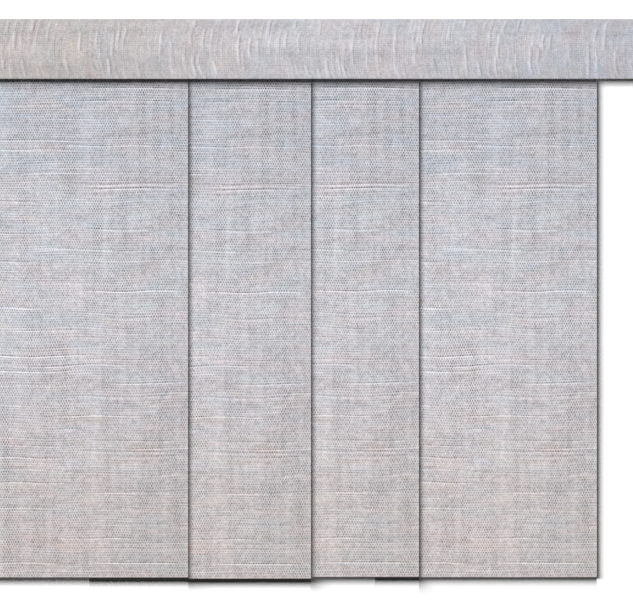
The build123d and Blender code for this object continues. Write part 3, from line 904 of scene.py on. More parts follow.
def geometry_tree(
    name: str, inputs: tuple[TreeInput, ...]
) -> tuple[bpy.types.NodeTree, bpy.types.Node, bpy.types.Node]:
    """Starts a Geometry Nodes tree with a geometry input, named inputs and a geometry output.

    Args:
        name: The tree's name.
        inputs: Its other inputs.

    Returns:
        The tree, its input node and its output node.
    """
    tree = bpy.data.node_groups.new(name, "GeometryNodeTree")
    tree.interface.new_socket(name="Geometry", in_out="INPUT", socket_type="NodeSocketGeometry")
    for wanted in inputs:
        tree.interface.new_socket(name=wanted.name, in_out="INPUT", socket_type=wanted.kind)
    tree.interface.new_socket(name="Geometry", in_out="OUTPUT", socket_type="NodeSocketGeometry")
    return tree, add(tree, "NodeGroupInput"), add(tree, "NodeGroupOutput")


def close_tree(
    tree: bpy.types.NodeTree, given: bpy.types.Node, out: bpy.types.Node, shape: bpy.types.NodeSocket
) -> None:
    """Ends a tree in Realize Instances and Set Material.

    Args:
        tree: The tree.
        given: Its input node, which has a Material input.
        out: Its output node.
        shape: The geometry to end with.
    """
    real = add(tree, "GeometryNodeRealizeInstances", {0: shape}).outputs[0]
    dressed = add(tree, "GeometryNodeSetMaterial", {"Geometry": real, "Material": given.outputs["Material"]})
    tree.links.new(dressed.outputs[0], out.inputs[0])


def weft_relief_tree() -> bpy.types.NodeTree:
    """Builds the tree that raises a cloth's cross yarns: even ribs of uneven thickness, and the slubs.

    Returns:
        The tree, with inputs for the ribs' pitch and height, the slubs' height, the seed and the material.
    """
    tree, given, out = geometry_tree(
        "weft_relief",
        (
            TreeInput("Rib Pitch", "NodeSocketFloat"),
            TreeInput("Rib Height", "NodeSocketFloat"),
            TreeInput("Slub Height", "NodeSocketFloat"),
            TreeInput("Seed", "NodeSocketFloat"),
            TreeInput("Material", "NodeSocketMaterial"),
        ),
    )
    read = {
        name: add(tree, "GeometryNodeInputNamedAttribute", {"Name": name}, data_type="FLOAT").outputs[0]
        for name in ("along", "across", "slub", "ribs")
    }
    pitches = {0: read["across"], 1: given.outputs["Rib Pitch"]}
    rows = add(tree, "ShaderNodeMath", pitches, operation="DIVIDE").outputs[0]
    angle = add(tree, "ShaderNodeMath", {0: rows, 1: TURN}, operation="MULTIPLY").outputs[0]
    rib = add(tree, "ShaderNodeMath", {0: angle}, operation="COSINE").outputs[0]
    along = add(tree, "ShaderNodeMath", {0: read["along"], 1: THICKENINGS}, operation="MULTIPLY").outputs[0]
    spot = add(tree, "ShaderNodeCombineXYZ", {0: along, 1: rows, 2: given.outputs["Seed"]}).outputs[0]
    body = add(tree, "ShaderNodeTexNoise", {"Vector": spot, "Scale": 0.9, "Detail": 1.0}).outputs[0]
    body = add(tree, "ShaderNodeMapRange", {0: body, 1: 0.25, 2: 0.75, 3: 0.3, 4: 1.7}).outputs[0]
    for factor in (body, given.outputs["Rib Height"], read["ribs"]):
        rib = add(tree, "ShaderNodeMath", {0: rib, 1: factor}, operation="MULTIPLY").outputs[0]
    thick = {0: read["slub"], 1: given.outputs["Slub Height"]}
    slub = add(tree, "ShaderNodeMath", thick, operation="MULTIPLY").outputs[0]
    lift = add(tree, "ShaderNodeMath", {0: slub, 1: rib}, operation="SUBTRACT").outputs[0]
    normal = add(tree, "GeometryNodeInputNormal").outputs[0]
    offset = add(tree, "ShaderNodeVectorMath", {0: normal, 3: lift}, operation="SCALE").outputs[0]
    raised = add(tree, "GeometryNodeSetPosition", {"Geometry": given.outputs[0], "Offset": offset})
    close_tree(tree, given, out, raised.outputs[0])
    return tree


def stitch_tree() -> bpy.types.NodeTree:
    """Builds the tree that sews stitches along lines.

    Returns:
        The tree, with inputs for the stitches' pitch, length and width, the seed and the material.
    """
    tree, given, out = geometry_tree(
        "stitches_along_lines",
        (
            TreeInput("Pitch", "NodeSocketFloat"),
            TreeInput("Stitch Length", "NodeSocketFloat"),
            TreeInput("Thread Width", "NodeSocketFloat"),
            TreeInput("Seed", "NodeSocketInt"),
            TreeInput("Material", "NodeSocketMaterial"),
        ),
    )
    line = add(tree, "GeometryNodeMeshToCurve", {0: given.outputs[0]}).outputs[0]
    spaced = {"Curve": line, "Length": given.outputs["Pitch"]}
    places = add(tree, "GeometryNodeCurveToPoints", spaced, mode="LENGTH")
    ball = {"Segments": BEAD_SEGMENTS, "Rings": BEAD_RINGS, "Radius": 0.5}
    bead = add(tree, "GeometryNodeMeshUVSphere", ball).outputs[0]
    bead = add(tree, "GeometryNodeSetShadeSmooth", {0: bead}).outputs[0]
    width, length = given.outputs["Thread Width"], given.outputs["Stitch Length"]
    size = add(tree, "ShaderNodeCombineXYZ", {0: width, 1: width, 2: length}).outputs[0]
    vary = add(
        tree,
        "FunctionNodeRandomValue",
        {"Min": STITCH_LEAST, "Max": STITCH_MOST, "Seed": given.outputs["Seed"]},
        data_type="FLOAT_VECTOR",
    ).outputs[0]
    size = add(tree, "ShaderNodeVectorMath", {0: size, 1: vary}, operation="MULTIPLY").outputs[0]
    points, turned = places.outputs["Points"], places.outputs["Rotation"]
    beads = {"Points": points, "Instance": bead, "Rotation": turned, "Scale": size}
    sewn = add(tree, "GeometryNodeInstanceOnPoints", beads)
    close_tree(tree, given, out, sewn.outputs[0])
    return tree


def grown(made: bpy.types.Object, tree: bpy.types.NodeTree, values: dict[str, Any]) -> bpy.types.Object:
    """Runs a Geometry Nodes tree on an object and keeps the result as its plain mesh.

    Args:
        made: The object.
        tree: The tree.
        values: Its inputs by name.

    Returns:
        The same object, with no modifier left.
    """
    modifier = made.modifiers.new(tree.name, "NODES")
    modifier.node_group = tree
    for socket in tree.interface.items_tree:
        if socket.in_out == "INPUT" and socket.name in values:
            modifier[socket.identifier] = values[socket.name]
    bpy.context.view_layer.update()
    graph = bpy.context.evaluated_depsgraph_get()
    result = made.evaluated_get(graph)
    mesh = bpy.data.meshes.new_from_object(result, preserve_all_data_layers=True, depsgraph=graph)
    made.modifiers.remove(modifier)
    made.data = mesh
    mesh.name = made.name
    return made


def lines_object(name: str, lines: list[np.ndarray]) -> bpy.types.Object:
    """Makes an object of loose polylines.

    Args:
        name: Its name.
        lines: Each line's points.

    Returns:
        The object, at the origin.
    """
    points: list = []
    edges: list = []
    for line in lines:
        start = len(points)
        points += line.tolist()
        edges += [(start + i, start + i + 1) for i in range(len(line) - 1)]
    mesh = bpy.data.meshes.new(name)
    mesh.from_pydata(points, edges, [])
    made = bpy.data.objects.new(name, mesh)
    bpy.context.scene.collection.objects.link(made)
    return made


@dataclass
class Workshop:
    """The finished materials and trees that the sub-assemblies share."""

    weft_relief: bpy.types.NodeTree
    stitches: bpy.types.NodeTree
    materials: dict[str, bpy.types.Material]

    @classmethod
    def open(cls) -> "Workshop":
        """Builds every material and tree once.

        Returns:
            The workshop.
        """
        finishes = (PANEL_CLOTH, VALANCE_CLOTH, *FINISH_OF_SLOT.values(), THREAD)
        return cls(weft_relief_tree(), stitch_tree(), {f.name: f.material() for f in finishes})

    def of(self, finish: Finish) -> bpy.types.Material:
        """The material of a finish."""
        return self.materials[finish.name]


# Sub-assemblies


@dataclass
class ClothPanel:
    """One hung cloth: a flat sheet with its lower edge turned back into a pocket for the bar."""

    number: int
    shop: Workshop
    columns: int = 78
    row_step: float = PANEL_CLOTH.row_pitch / 4
    bend_step: float = 0.6 * MM
    back_step: float = 14.0 * MM
    back_bend_step: float = 0.7 * MM
    fold_radius: float = 1.1 * MM
    pocket_depth: float = 4.9 * MM
    pocket_top: float = 27.9 * MM
    slope_height: float = 7.0 * MM
    slope_radius: float = 5.0 * MM
    seam_gap: float = 0.03 * MM
    seam_top: float = 41.9 * MM
    wander: Drift = Drift(5, 2.0 * MM, 0.42, 0.30)
    hang: Drift = Drift(8, 0.5 * MM, 0.55, 0.8)
    still: float = 6.0 * MM
    settle: float = 20.0 * MM
    rib_height: float = 0.10 * MM
    rib_seed: float = 4.0
    fine_slubs: int = 90
    slub_sway: float = 0.9 * MM
    seed: int = 12
    stitch_inset: float = 4.0 * MM
    stitch_proud: float = 0.18 * MM
    tape_rows: tuple[float, float] = (4.0 * MM, 22.0 * MM)
    hem_row: float = 38.5 * MM
    stitch_pitch: float = 3.6 * MM
    stitch_length: float = 3.0 * MM
    thread_width: float = 0.6 * MM
    stitch_seed: int = 20

    def __post_init__(self) -> None:
        """Reads where the CAD cloth hangs."""
        self.node = f"panel_{self.number}_fabric"
        low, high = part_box(self.node)
        self.left, self.bottom, self.top = low.x, low.z, high.z
        self.front = low.y + SLUB_PROUD
        self.body = f"panel_{self.number}"

    def slubs(self) -> list[Slub]:
        """Lists the cloth's thick places: the ones in the CAD solid and many finer ones.

        Returns:
            The thick places, measured from the cloth's lower left corner.
        """
        random = np.random.default_rng(self.seed)
        places = [(z * MM, x * MM, n * MM, random.uniform(0.6, 1.0)) for z, x, n in PANEL_SLUBS_MM]
        height = self.top - self.bottom
        for _ in range(self.fine_slubs):
            length = random.uniform(0.10, 0.42)
            start = random.uniform(-0.05, PANEL_W - 0.5 * length)
            places.append((random.uniform(0.01, height), start, length, random.uniform(0.12, 0.42)))
        thick = []
        for place in places:
            lean = math.radians(random.normal(0.0, 0.3))
            turn = random.uniform(0, TURN)
            sway = {"sway": self.slub_sway, "sway_length": random.uniform(0.12, 0.3), "sway_start": turn}
            thick.append(Slub(*place, lean=lean, **sway))
        return thick

    def build(self) -> bpy.types.Object:
        """Builds the cloth.

        Returns:
            The cloth, hung in its place.
        """
        t = PANEL_CLOTH_T
        mid = self.front + t / 2
        back = self.front + self.pocket_depth - t / 2
        over = mid + t + self.seam_gap
        path = rounded(
            [
                (mid, self.top, 0.0),
                (mid, self.bottom + t / 2, self.fold_radius),
                (back, self.bottom + t / 2, self.fold_radius),
                (back, self.bottom + self.pocket_top, self.slope_radius),
                (over, self.bottom + self.pocket_top + self.slope_height, self.slope_radius),
                (over, self.bottom + self.seam_top, 0.0),
            ],
            PATH_STEP,
        )
        ribbon = Ribbon(path, t)
        self.flat = (PANEL_W, ribbon.total)
        grid = ClothGrid(
            ribbon,
            ribbon.stations(self.row_step, self.bend_step),
            ribbon.stations(self.back_step, self.back_bend_step),
            np.linspace(0, PANEL_W, self.columns),
        )
        along = np.broadcast_to(grid.sweep[None, :], (len(grid.row_at), self.columns))
        across = np.broadcast_to((self.top - self.bottom - grid.row_at)[:, None], along.shape)
        on_front = np.clip((across - self.still) / self.settle, 0, 1)
        on_front = on_front * np.clip(grid.row_at[:, None] / self.settle, 0, 1)
        y = grid.section[:, 0][:, None] + self.hang.at(along, across) * on_front
        z = grid.section[:, 1][:, None] + self.wander.at(along, across) * on_front
        points = np.stack([self.left + along, y, z], axis=-1)
        is_front = grid.is_outer[:, None] * (across > 0)
        slub = slub_field(self.slubs(), along, across) * is_front
        name = f"panel_{self.number}_cloth"
        cloth = grid.object(name, points, along, across, slub, grid.is_outer[:, None])
        values = {
            "Rib Pitch": PANEL_CLOTH.row_pitch,
            "Rib Height": self.rib_height,
            "Slub Height": SLUB_PROUD,
            "Seed": self.rib_seed,
            "Material": self.shop.of(PANEL_CLOTH),
        }
        return grown(cloth, self.shop.weft_relief, values)

    def sew(self) -> bpy.types.Object:
        """Sews the loop tape's two rows through the cloth's front, and the hem's row on its back.

        Returns:
            The stitches of this panel.
        """
        x = (self.left + self.stitch_inset, self.left + PANEL_W - self.stitch_inset)
        rows = []
        for drop in self.tape_rows:
            rows.append(np.array([(at, self.front - self.stitch_proud, self.top - drop) for at in x]))
        hem_y = self.front + 2 * PANEL_CLOTH_T + self.stitch_proud
        rows.append(np.array([(at, hem_y, self.bottom + self.hem_row) for at in x]))
        sewn = lines_object(f"panel_{self.number}_stitching", rows)
        values = {
            "Pitch": self.stitch_pitch,
            "Stitch Length": self.stitch_length,
            "Thread Width": self.thread_width,
            "Seed": self.stitch_seed + self.number,
            "Material": self.shop.of(THREAD),
        }
        return grown(sewn, self.shop.stitches, values)

    def dress(self) -> list[bpy.types.Object]:
        """Builds the cloth and its stitches and hangs them on the panel's body.

        Returns:
            The pieces.
        """
        cloth, sewn = self.build(), self.sew()
        for piece in (cloth, sewn):
            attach(piece, self.body)
        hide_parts(self.node)
        return [cloth, sewn]


class Along(Enum):
    """Which way a covered board runs."""

    X = 0
    Y = 1


@dataclass
class CoveredBoard:
    """Cloth stretched over a board: round its face and long edges, turned in behind, with its ends closed."""

    name: str
    node: str
    shop: Workshop
    runs: Along
    start: float
    end: float
    corners: list[tuple[float, float, float]]
    slubs: list[Slub]
    flat: tuple[float, float]
    board: str
    end_t: float = VALANCE_CLOTH_T
    step: float = VALANCE_CLOTH.row_pitch / 3
    row_step: float = 5.0 * MM
    bend_step: float = 0.9 * MM
    back_step: float = 16.0 * MM
    back_bend_step: float = 1.2 * MM
    bow: float = 1.5 * MM
    bow_middle: float = 0.108
    bow_length: float = 30.0 * MM
    wander: Drift = Drift(15, 1.0 * MM, 0.09, 0.30)
    settle: float = 25.0 * MM
    end_bevel: float = 0.25 * MM
    rib_height: float = 0.06 * MM
    rib_seed: float = 9.0

    def place(self, section: np.ndarray, sweep: np.ndarray) -> np.ndarray:
        """Turns section points and distances along the board into places.

        Args:
            section: Points across the board and up, one for each row.
            sweep: Distances along the board, one for each row and column.

        Returns:
            The places.
        """
        out = np.zeros((*sweep.shape, 3))
        out[..., 1 - self.runs.value] = section[..., 0]
        out[..., self.runs.value] = sweep
        out[..., 2] = section[..., 1]
        return out

    def build(self) -> bpy.types.Object:
        """Builds the cloth.

        Returns:
            The cloth, in its place.
        """
        ribbon = Ribbon(rounded(self.corners, PATH_STEP), VALANCE_CLOTH_T)
        count = int(round((self.end - self.start - 2 * self.end_t) / self.step)) + 1
        grid = ClothGrid(
            ribbon,
            ribbon.stations(self.row_step, self.bend_step),
            ribbon.stations(self.back_step, self.back_bend_step),
            np.linspace(self.start + self.end_t, self.end - self.end_t, count),
        )
        across = np.broadcast_to(grid.sweep[None, :], (len(grid.row_at), count))
        along = np.broadcast_to(grid.row_at[:, None], across.shape)
        near_end = np.minimum(across - self.start, self.end - across) - self.end_t
        bow = self.bow * ((along - self.bow_middle) / self.bow_length) ** 2
        wander = (self.wander.at(along, across) + bow) * np.clip(near_end / self.settle, 0, 1)
        section = np.broadcast_to(grid.section[:, None, :], (*across.shape, 2))
        points = self.place(section, across + wander)
        slub = slub_field(self.slubs, along.T, across.T).T * grid.is_outer[:, None]
        cloth = grid.object(self.name, points, along, across, slub, grid.is_outer[:, None])
        self._close_ends(cloth, grid)
        values = {
            "Rib Pitch": VALANCE_CLOTH.row_pitch,
            "Rib Height": self.rib_height,
            "Slub Height": SLUB_PROUD,
            "Seed": self.rib_seed,
            "Material": self.shop.of(VALANCE_CLOTH),
        }
        return grown(cloth, self.shop.weft_relief, values)

    def _close_ends(self, cloth: bpy.types.Object, grid: ClothGrid) -> None:
        """Folds a patch of cloth flat over each end of the board.

        Args:
            cloth: The cloth so far, which gets the patches.
            grid: Its layout.
        """
        outline = grid.section[: len(grid.outer_at)]
        shape = bmesh.new()
        shape.from_mesh(cloth.data)
        weave = shape.loops.layers.uv["weave"]
        toward_middle = outline.mean(axis=0) - outline
        for inner, outer in ((self.start + self.end_t, self.start), (self.end - self.end_t, self.end)):
            rings = []
            shoulder = outer + np.sign(inner - outer) * self.end_bevel
            for at, shrink in ((inner, 0.0), (shoulder, 0.0), (outer, self.end_bevel)):
                toward = np.clip(toward_middle, -shrink, shrink)
                ring = self.place(outline + toward, np.full(len(outline), at))
                rings.append([shape.verts.new(p) for p in ring])
            faces = [shape.faces.new(rings[0]), shape.faces.new(rings[-1])]
            for first, second in zip(rings, rings[1:]):
                for i in range(len(first)):
                    j = (i + 1) % len(first)
                    faces.append(shape.faces.new((first[i], first[j], second[j], second[i])))
            for face in faces:
                for loop in face.loops:
                    place = loop.vert.co
                    loop[weave].uv = (place.z - grid.section[:, 1].min(), place[1 - self.runs.value])
            bmesh.ops.recalc_face_normals(shape, faces=faces)
        shape.to_mesh(cloth.data)
        shape.free()

    def dress(self) -> list[bpy.types.Object]:
        """Builds the cloth and fixes it to the headrail.

        Returns:
            The pieces.
        """
        cloth = self.build()
        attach(cloth, "headrail")
        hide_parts(self.node)
        return [cloth]


@dataclass
class Valance:
    """The bowed board's cloth and the cloths of its two returns."""

    shop: Workshop
    turn_in: float = 15.8 * MM
    corner: float = 0.5 * MM
    bow_points: int = 96
    slack: float = 0.65 * MM
    sagitta: float = 6.0 * MM
    end_turn: float = 16.2 * MM
    fine_slubs: int = 260
    return_slubs: int = 14
    slub_sway: float = 1.0 * MM
    seed: int = 31

    def front_slubs(self, base: float) -> list[Slub]:
        """Lists the valance's thick places.

        Args:
            base: The distance along the cloth's section at which the front starts, at its upper edge.

        Returns:
            The thick places, with distances along the section and along the valance.
        """
        random = np.random.default_rng(self.seed)
        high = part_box("valance_fabric")[1].z
        places = []
        for x, z, n in VALANCE_SLUBS_MM:
            places.append((x * MM, base + high - z * MM, n * MM, random.uniform(0.6, 1.0)))
        for _ in range(self.fine_slubs):
            length = random.uniform(0.025, 0.09)
            start = random.uniform(base - 0.01, base + VALANCE_H - 0.4 * length)
            places.append((random.uniform(-1.1, 1.1), start, length, random.uniform(0.15, 0.45)))
        thick = []
        for place in places:
            turn = random.uniform(0, TURN)
            long = random.uniform(0.05, 0.09)
            sway = {"sway": self.slub_sway, "sway_length": long, "sway_start": turn}
            thick.append(Slub(*place, size=1.7, gap=0.75, **sway))
        return thick

    def cover(self) -> CoveredBoard:
        """The cloth over the bowed board."""
        low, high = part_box("valance_fabric")
        half_t = VALANCE_CLOTH_T / 2
        back = high.y - half_t
        bottom, top = low.z + half_t - self.slack, high.z - half_t
        front_edge = back - VALANCE_EDGE_DEPTH
        sagitta = self.sagitta
        half_h = (top - bottom) / 2
        radius = (half_h**2 + sagitta**2) / (2 * sagitta)
        reach = math.asin(half_h / radius)
        bow = []
        for angle in np.linspace(reach, -reach, self.bow_points):
            a = front_edge - sagitta + radius - radius * math.cos(angle)
            b = (top + bottom) / 2 + radius * math.sin(angle)
            bow.append((a, b, 0.0))
        bow[0] = (*bow[0][:2], self.corner)
        bow[-1] = (*bow[-1][:2], self.corner)
        corners = [
            (back, top - self.turn_in, 0.0),
            (back, top, self.corner),
            *bow,
            (back, bottom, self.corner),
            (back, bottom + self.turn_in, 0.0),
        ]
        edge = self.turn_in + (back - front_edge)
        length = edge * 2 + 2 * reach * radius
        return CoveredBoard(
            "valance_cloth",
            "valance_fabric",
            self.shop,
            Along.X,
            low.x,
            high.x,
            corners,
            self.front_slubs(edge),
            (high.x - low.x + 2 * self.end_turn, length),
            "valance_board",
        )

    def return_cover(self, side: str) -> CoveredBoard:
        """The cloth over one return.

        Args:
            side: Left or right.

        Returns:
            The covered board.
        """
        low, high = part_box(f"return_fabric_{side}")
        half_t = VALANCE_CLOTH_T / 2
        inner, outer = low.x + half_t, high.x - half_t
        if side == "left":
            inner, outer = outer, inner
        bottom, top = low.z + half_t, high.z - half_t
        corners = [
            (inner, bottom + self.turn_in, 0.0),
            (inner, bottom, self.corner),
            (outer, bottom, self.corner),
            (outer, top, self.corner),
            (inner, top, self.corner),
            (inner, top - self.turn_in, 0.0),
        ]
        random = np.random.default_rng(self.seed + len(side))
        slubs = []
        for _ in range(self.return_slubs):
            length = random.uniform(0.03, 0.09)
            start = random.uniform(0.02, 0.14)
            slubs.append(Slub(random.uniform(low.y, high.y), start, length, random.uniform(0.3, 0.9)))
        length = 2 * self.turn_in + 2 * abs(outer - inner) + top - bottom
        return CoveredBoard(
            f"return_{side}_cloth",
            f"return_fabric_{side}",
            self.shop,
            Along.Y,
            low.y,
            high.y,
            corners,
            slubs,
            (high.y - low.y + 2 * abs(outer - inner), length),
            f"return_board_{side}",
        )

    def dress(self) -> list[bpy.types.Object]:
        """Covers the valance and both returns.

        Returns:
            The pieces.
        """
        covers = [self.cover(), self.return_cover("left"), self.return_cover("right")]
        return [piece for cover in covers for piece in cover.dress()]


@dataclass
class Hardware:
    """The CAD pieces that keep their own shapes: track, brackets, locks, boards, carriers and bars."""

    shop: Workshop

    def dress(self) -> int:
        """Gives every CAD piece the finish of its slot in the record.

        Returns:
            How many pieces were dressed.
        """
        slots = {part["node"]: part["material_slot"] for part in frame["record"]["subparts"]}
        dressed = 0
        for name, piece in frame["nodes"].items():
            finish = FINISH_OF_SLOT.get(Slot(slots[name]), VALANCE_CLOTH)
            piece.data.materials.clear()
            piece.data.materials.append(self.shop.of(finish))
            dressed += 1
        return dressed


# Studio


@dataclass(frozen=True)
class Bay:
    """A part of the wall that takes one drop shadow, and what its shadow looks like."""

    left: float
    right: float
    low: float
    high: float
    gap: float
    shadow: tuple[float, float] = (4.5 * MM, 26.0 * MM)
    # How many times darker its paint is and how many times stronger its light: above 1, painted shade that
    # deepens the shadow where two cloths' shadows fall together.
    depth: float = 1.0


@dataclass
class Studio:
    """The camera, the lights, the wall and the floor."""

    view_width: float = 1.7108
    view_mid: tuple[float, float] = (0.0, -0.7235)
    distance: float = 60.0
    sensor: float = 36.0
    clip: tuple[float, float] = (0.1, 400.0)
    cloth_front: float = 0.05
    floor_z: float = -2.2
    floor_half: float = 60.0
    light_distance: float = 30.0
    light_left: float = 22.0
    wall_light_left: float = 25.0
    light_half_width: float = 20.0
    cloth_shadow: tuple[float, float] = (6.5 * MM, 27.0 * MM)
    doubled_shadow: tuple[float, float] = (8.0 * MM, 27.0 * MM)
    # How many times darker the paint is, under a light as many times stronger, where two cloths' shadows fall
    # together on the wall: painted shade that deepens that shadow.
    doubled_shade_paint_factor: float = 3.5
    wall_half: float = 14.0
    wall_top: float = 6.0
    wall_tone: float = 0.509
    wall_gap: float = 0.5 * MM
    knee_rise: float = 60.0 * MM
    roller_scale: float = 300.0
    floor_cloud: float = 1.5
    bright_reflection: float = 0.8
    key_light: float = 3.27
    rear_share: float = 0.975
    wall_light: float = 7.4
    ambient: float = 0.06

    def camera(self) -> None:
        """Stands a long-lens camera straight in front."""
        lens = bpy.data.cameras.new("camera")
        lens.sensor_width = self.sensor
        lens.lens = self.sensor * self.distance / self.view_width
        lens.clip_start, lens.clip_end = self.clip
        made = bpy.data.objects.new("camera", lens)
        made.location = (self.view_mid[0], -self.distance - self.cloth_front, self.view_mid[1])
        made.rotation_euler = (math.pi / 2, 0.0, 0.0)
        bpy.context.scene.collection.objects.link(made)
        bpy.context.scene.camera = made

    def sun(
        self, name: str, strength: float, angle: float, left: float, up: float, behind: bool = False
    ) -> bpy.types.Object:
        """Hangs a wide, soft light.

        Args:
            name: Its name.
            strength: Its strength.
            angle: How wide it looks from the object, in degrees.
            left: How far to the left of the viewer it stands, in degrees.
            up: How high it stands, in degrees.
            behind: Whether it stands behind the wall.

        Returns:
            The light.
        """
        light = bpy.data.lights.new(name, "SUN")
        light.energy = strength
        light.angle = math.radians(angle)
        made = bpy.data.objects.new(name, light)
        a, e = math.radians(left), math.radians(up)
        side = 1 if behind else -1
        away = Vector((-math.sin(a) * math.cos(e), side * math.cos(a) * math.cos(e), math.sin(e)))
        made.rotation_mode = "QUATERNION"
        made.rotation_quaternion = away.to_track_quat("Z", "Y")
        bpy.context.scene.collection.objects.link(made)
        return made

    def key(
        self,
        name: str,
        strength: float,
        left: float,
        gap: float,
        shadow: tuple[float, float],
        receivers: list[bpy.types.Object],
    ) -> None:
        """Hangs a broad soft light for one group, tall enough for an even soft shadow under what shades it.

        Args:
            name: Its name.
            strength: The light that falls on an upright face.
            left: How far to the left of the viewer it stands, in degrees.
            gap: How far before the group the pieces that shade it stand.
            shadow: How far below their edge the soft shadow starts to fade, and where it ends.
            receivers: The group's pieces.
        """
        left = math.radians(left)
        slant = gap / math.cos(left)
        low, high = math.atan(shadow[0] / slant), math.atan(shadow[1] / slant)
        up = (low + high) / 2
        light = bpy.data.lights.new(name, "AREA")
        light.shape = "RECTANGLE"
        light.size = 2 * self.light_distance * math.tan(math.radians(self.light_half_width))
        light.size_y = 2 * self.light_distance * math.tan((high - low) / 2)
        light.energy = strength * math.pi * self.light_distance**2 / (math.cos(left) * math.cos(up))
        away = Vector((-math.sin(left) * math.cos(up), -math.cos(left) * math.cos(up), math.sin(up)))
        made = bpy.data.objects.new(name, light)
        made.location = Vector((self.view_mid[0], 0.0, self.view_mid[1])) + away * self.light_distance
        made.rotation_mode = "QUATERNION"
        made.rotation_quaternion = away.to_track_quat("Z", "Y")
        made.visible_camera = False
        bpy.context.scene.collection.objects.link(made)
        self.light_only(made, receivers)

    def light_only(self, light: bpy.types.Object, receivers: list[bpy.types.Object]) -> None:
        """Links a light to some objects alone.

        Args:
            light: The light.
            receivers: The objects that it lights.
        """
        group = bpy.data.collections.new(f"{light.name}_receivers")
        for receiver in receivers:
            group.objects.link(receiver)
        light.light_linking.receiver_collection = group

    def plane(
        self, name: str, points: list[tuple[float, float, float]], material: bpy.types.Material
    ) -> bpy.types.Object:
        """Stands a flat stage sheet.

        Args:
            name: Its name.
            points: Its four corners.
            material: Its material.

        Returns:
            The sheet.
        """
        mesh = bpy.data.meshes.new(name)
        mesh.from_pydata(points, [], [(0, 1, 2, 3)])
        mesh.materials.append(material)
        made = bpy.data.objects.new(name, mesh)
        bpy.context.scene.collection.objects.link(made)
        return made

    def paint(self, depth: float) -> bpy.types.Material:
        """Mixes the wall's paint, which is clear from behind so that the curtain's back can be seen.

        Rolled matt emulsion: no shine, with the fine stipple of the roller, in cells of about 3 mm. It is a
        grey that the wall's own lights bring up to white, so that its shadows stay deep.

        Args:
            depth: How many times darker it is than the plain paint; above 1, painted shade that deepens a
                doubled shadow.

        Returns:
            The paint.
        """
        made = bpy.data.materials.new(f"matt_rolled_wall_paint_{depth:g}")
        made.use_nodes = True
        tree = made.node_tree
        tree.nodes.clear()
        place = add(tree, "ShaderNodeTexCoord").outputs["Object"]
        stipple = {"Vector": place, "Scale": self.roller_scale, "Detail": 2.0}
        roller = add(tree, "ShaderNodeTexNoise", stipple).outputs[0]
        bump = add(tree, "ShaderNodeBump", {"Strength": 0.1, "Distance": 0.1 * MM, "Height": roller})
        tone = (self.wall_tone / depth,) * 3
        paint = add(tree, "ShaderNodeBsdfDiffuse", {"Color": (*tone, 1.0), "Normal": bump.outputs[0]})
        clear = add(tree, "ShaderNodeBsdfTransparent")
        facing = add(tree, "ShaderNodeNewGeometry").outputs["Backfacing"]
        mixed = add(tree, "ShaderNodeMixShader", {0: facing, 1: paint.outputs[0], 2: clear.outputs[0]})
        add(tree, "ShaderNodeOutputMaterial", {"Surface": mixed.outputs[0]})
        return made

    def bays(self, fronts: list[float], valance_edge: float) -> list[Bay]:
        """Lays out the wall: one part behind the object, and below it a part for each panel's drop shadow.

        Where one cloth hangs behind another, their two shadows fall together, and there the wall gets painted
        shade:
        darker paint under a stronger light, so that only the shadow comes out deeper.

        Args:
            fronts: Where each panel's front is.
            valance_edge: Where the valance's lower front edge is.

        Returns:
            The parts.
        """
        boxes = [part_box(f"panel_{n}_fabric") for n in PANELS]
        lefts, rights = [box[0].x for box in boxes], [box[1].x for box in boxes]
        knee = boxes[0][0].z + self.knee_rise
        low = self.floor_z
        deep = {"shadow": self.doubled_shadow, "depth": self.doubled_shade_paint_factor}
        return [
            Bay(-self.wall_half, self.wall_half, knee, self.wall_top, -valance_edge),
            Bay(-self.wall_half, lefts[1], low, knee, -fronts[0]),
            Bay(lefts[1], rights[0], low, knee, -fronts[0], **deep),
            Bay(rights[0], rights[1], low, knee, -fronts[1], **deep),
            Bay(rights[1], lefts[3], low, knee, -fronts[2]),
            Bay(lefts[3], rights[2], low, knee, -fronts[2], **deep),
            Bay(rights[2], rights[3], low, knee, -fronts[3]),
            Bay(rights[3], self.wall_half, low, knee, -valance_edge),
        ]

    def wall(self, bays: list[Bay]) -> None:
        """Stands the wall's parts and lights each for its own shadow.

        Args:
            bays: The parts.
        """
        paints = {depth: self.paint(depth) for depth in sorted({bay.depth for bay in bays})}
        y = self.wall_gap
        for number, bay in enumerate(bays, 1):
            lower = [(bay.left, y, bay.low), (bay.right, y, bay.low)]
            upper = [(bay.right, y, bay.high), (bay.left, y, bay.high)]
            made = self.plane(f"wall_bay_{number}", lower + upper, paints[bay.depth])
            made.visible_shadow = made.visible_diffuse = made.visible_glossy = False
            # A darker paint under a light as many times stronger looks the same white, but its shadow is
            # deeper: painted shade.
            strength = self.wall_light * bay.depth
            self.key(f"wall_key_{number}", strength, self.wall_light_left, bay.gap, bay.shadow, [made])

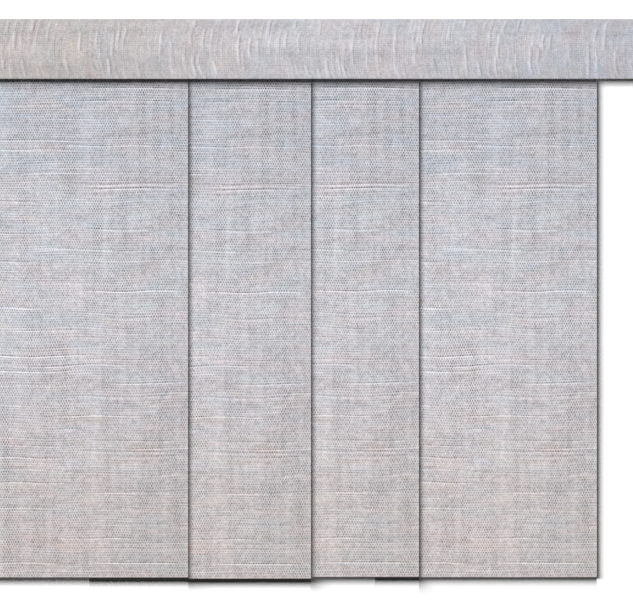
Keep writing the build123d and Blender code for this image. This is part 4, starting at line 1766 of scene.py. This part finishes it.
    def floor(self) -> bpy.types.Object:
        """Lays the pale painted floor: dull, faintly clouded, and throwing no light back up.

        Returns:
            The floor.
        """
        made = bpy.data.materials.new("pale_studio_floor")
        made.use_nodes = True
        tree = made.node_tree
        shader = tree.nodes["Principled BSDF"]
        shader.inputs["Roughness"].default_value = 0.7
        place = add(tree, "ShaderNodeTexCoord").outputs["Object"]
        cells = {"Vector": place, "Scale": self.floor_cloud, "Detail": 4.0}
        cloud = add(tree, "ShaderNodeTexNoise", cells).outputs[0]
        colours = {0: cloud, 6: linear("#E6E4E1"), 7: linear("#DEDCD9")}
        colour = add(tree, "ShaderNodeMix", colours, data_type="RGBA")
        tree.links.new(colour.outputs[2], shader.inputs["Base Color"])
        half = self.floor_half
        corners = ((-half, -half), (half, -half), (half, half), (-half, half))
        sheet = self.plane("floor", [(x, y, self.floor_z) for x, y in corners], made)
        sheet.visible_diffuse = False
        return sheet

    def world(self) -> None:
        """Fills the room with even light: white to the eye, dim on matt surfaces, brighter in reflections."""
        made = bpy.data.worlds.new("studio")
        bpy.context.scene.world = made
        made.use_nodes = True
        tree = made.node_tree
        tree.nodes.clear()
        path = add(tree, "ShaderNodeLightPath")
        levels = {0: path.outputs["Is Glossy Ray"], 3: self.ambient, 4: self.bright_reflection}
        glossy = add(tree, "ShaderNodeMapRange", levels).outputs[0]
        brightest = {0: glossy, 1: path.outputs["Is Camera Ray"]}
        seen = add(tree, "ShaderNodeMath", brightest, operation="MAXIMUM").outputs[0]
        light = add(tree, "ShaderNodeBackground", {"Color": (1.0, 1.0, 1.0, 1.0), "Strength": seen})
        add(tree, "ShaderNodeOutputWorld", {"Surface": light.outputs[0]})

    def set_up(self, pieces: list[bpy.types.Object]) -> None:
        """Builds the whole studio round the object.

        Args:
            pieces: The pieces that the scene adds to the CAD nodes.
        """
        self.camera()
        self.world()
        floor = self.floor()
        shown = [*pieces, *frame["nodes"].values()]
        fronts = [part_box(f"panel_{n}_fabric")[0].y + SLUB_PROUD for n in PANELS]
        valance_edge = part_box("valance_board")[1].y - VALANCE_EDGE_DEPTH
        for number, front in enumerate(fronts, 1):
            group = [piece for piece in shown if piece.name.startswith(f"panel_{number}_")]
            if number == 1:
                group += [piece for piece in shown if not piece.name.startswith("panel_")]
            strength = self.key_light * (1.0 if number == 1 else self.rear_share)
            gap = front - valance_edge
            self.key(f"key_{number}", strength, self.light_left, gap, self.cloth_shadow, group)
        self.wall(self.bays(fronts, valance_edge))
        floor_light = self.sun("floor_light", strength=3.0, angle=20.0, left=20.0, up=55.0)
        self.light_only(floor_light, [floor])
        rear_light = self.sun("rear_light", strength=1.9, angle=50.0, left=-30.0, up=35.0, behind=True)
        self.light_only(rear_light, shown)
        fronts_shown = {"valance_cloth", *(f"panel_{number}_cloth" for number in PANELS)}
        side_light = self.sun("side_light", strength=1.1, angle=50.0, left=-78.0, up=25.0)
        self.light_only(side_light, [piece for piece in shown if piece.name not in fronts_shown])
        bpy.context.scene.view_settings.view_transform = "Standard"


def main() -> None:
    """Builds every sub-assembly in order and reports each piece."""
    logging.basicConfig(level=logging.INFO, format="%(name)s: %(message)s")
    shop = Workshop.open()
    LOG.info("dressed %d CAD pieces", Hardware(shop).dress())
    pieces = Valance(shop).dress()
    for number in PANELS:
        pieces += ClothPanel(number, shop).dress()
    for piece in pieces:
        piece.data.calc_loop_triangles()
        LOG.info("built %s with %d triangles", piece.name, len(piece.data.loop_triangles))
    Studio().set_up(pieces)


if __name__ == "__main__":
    main()
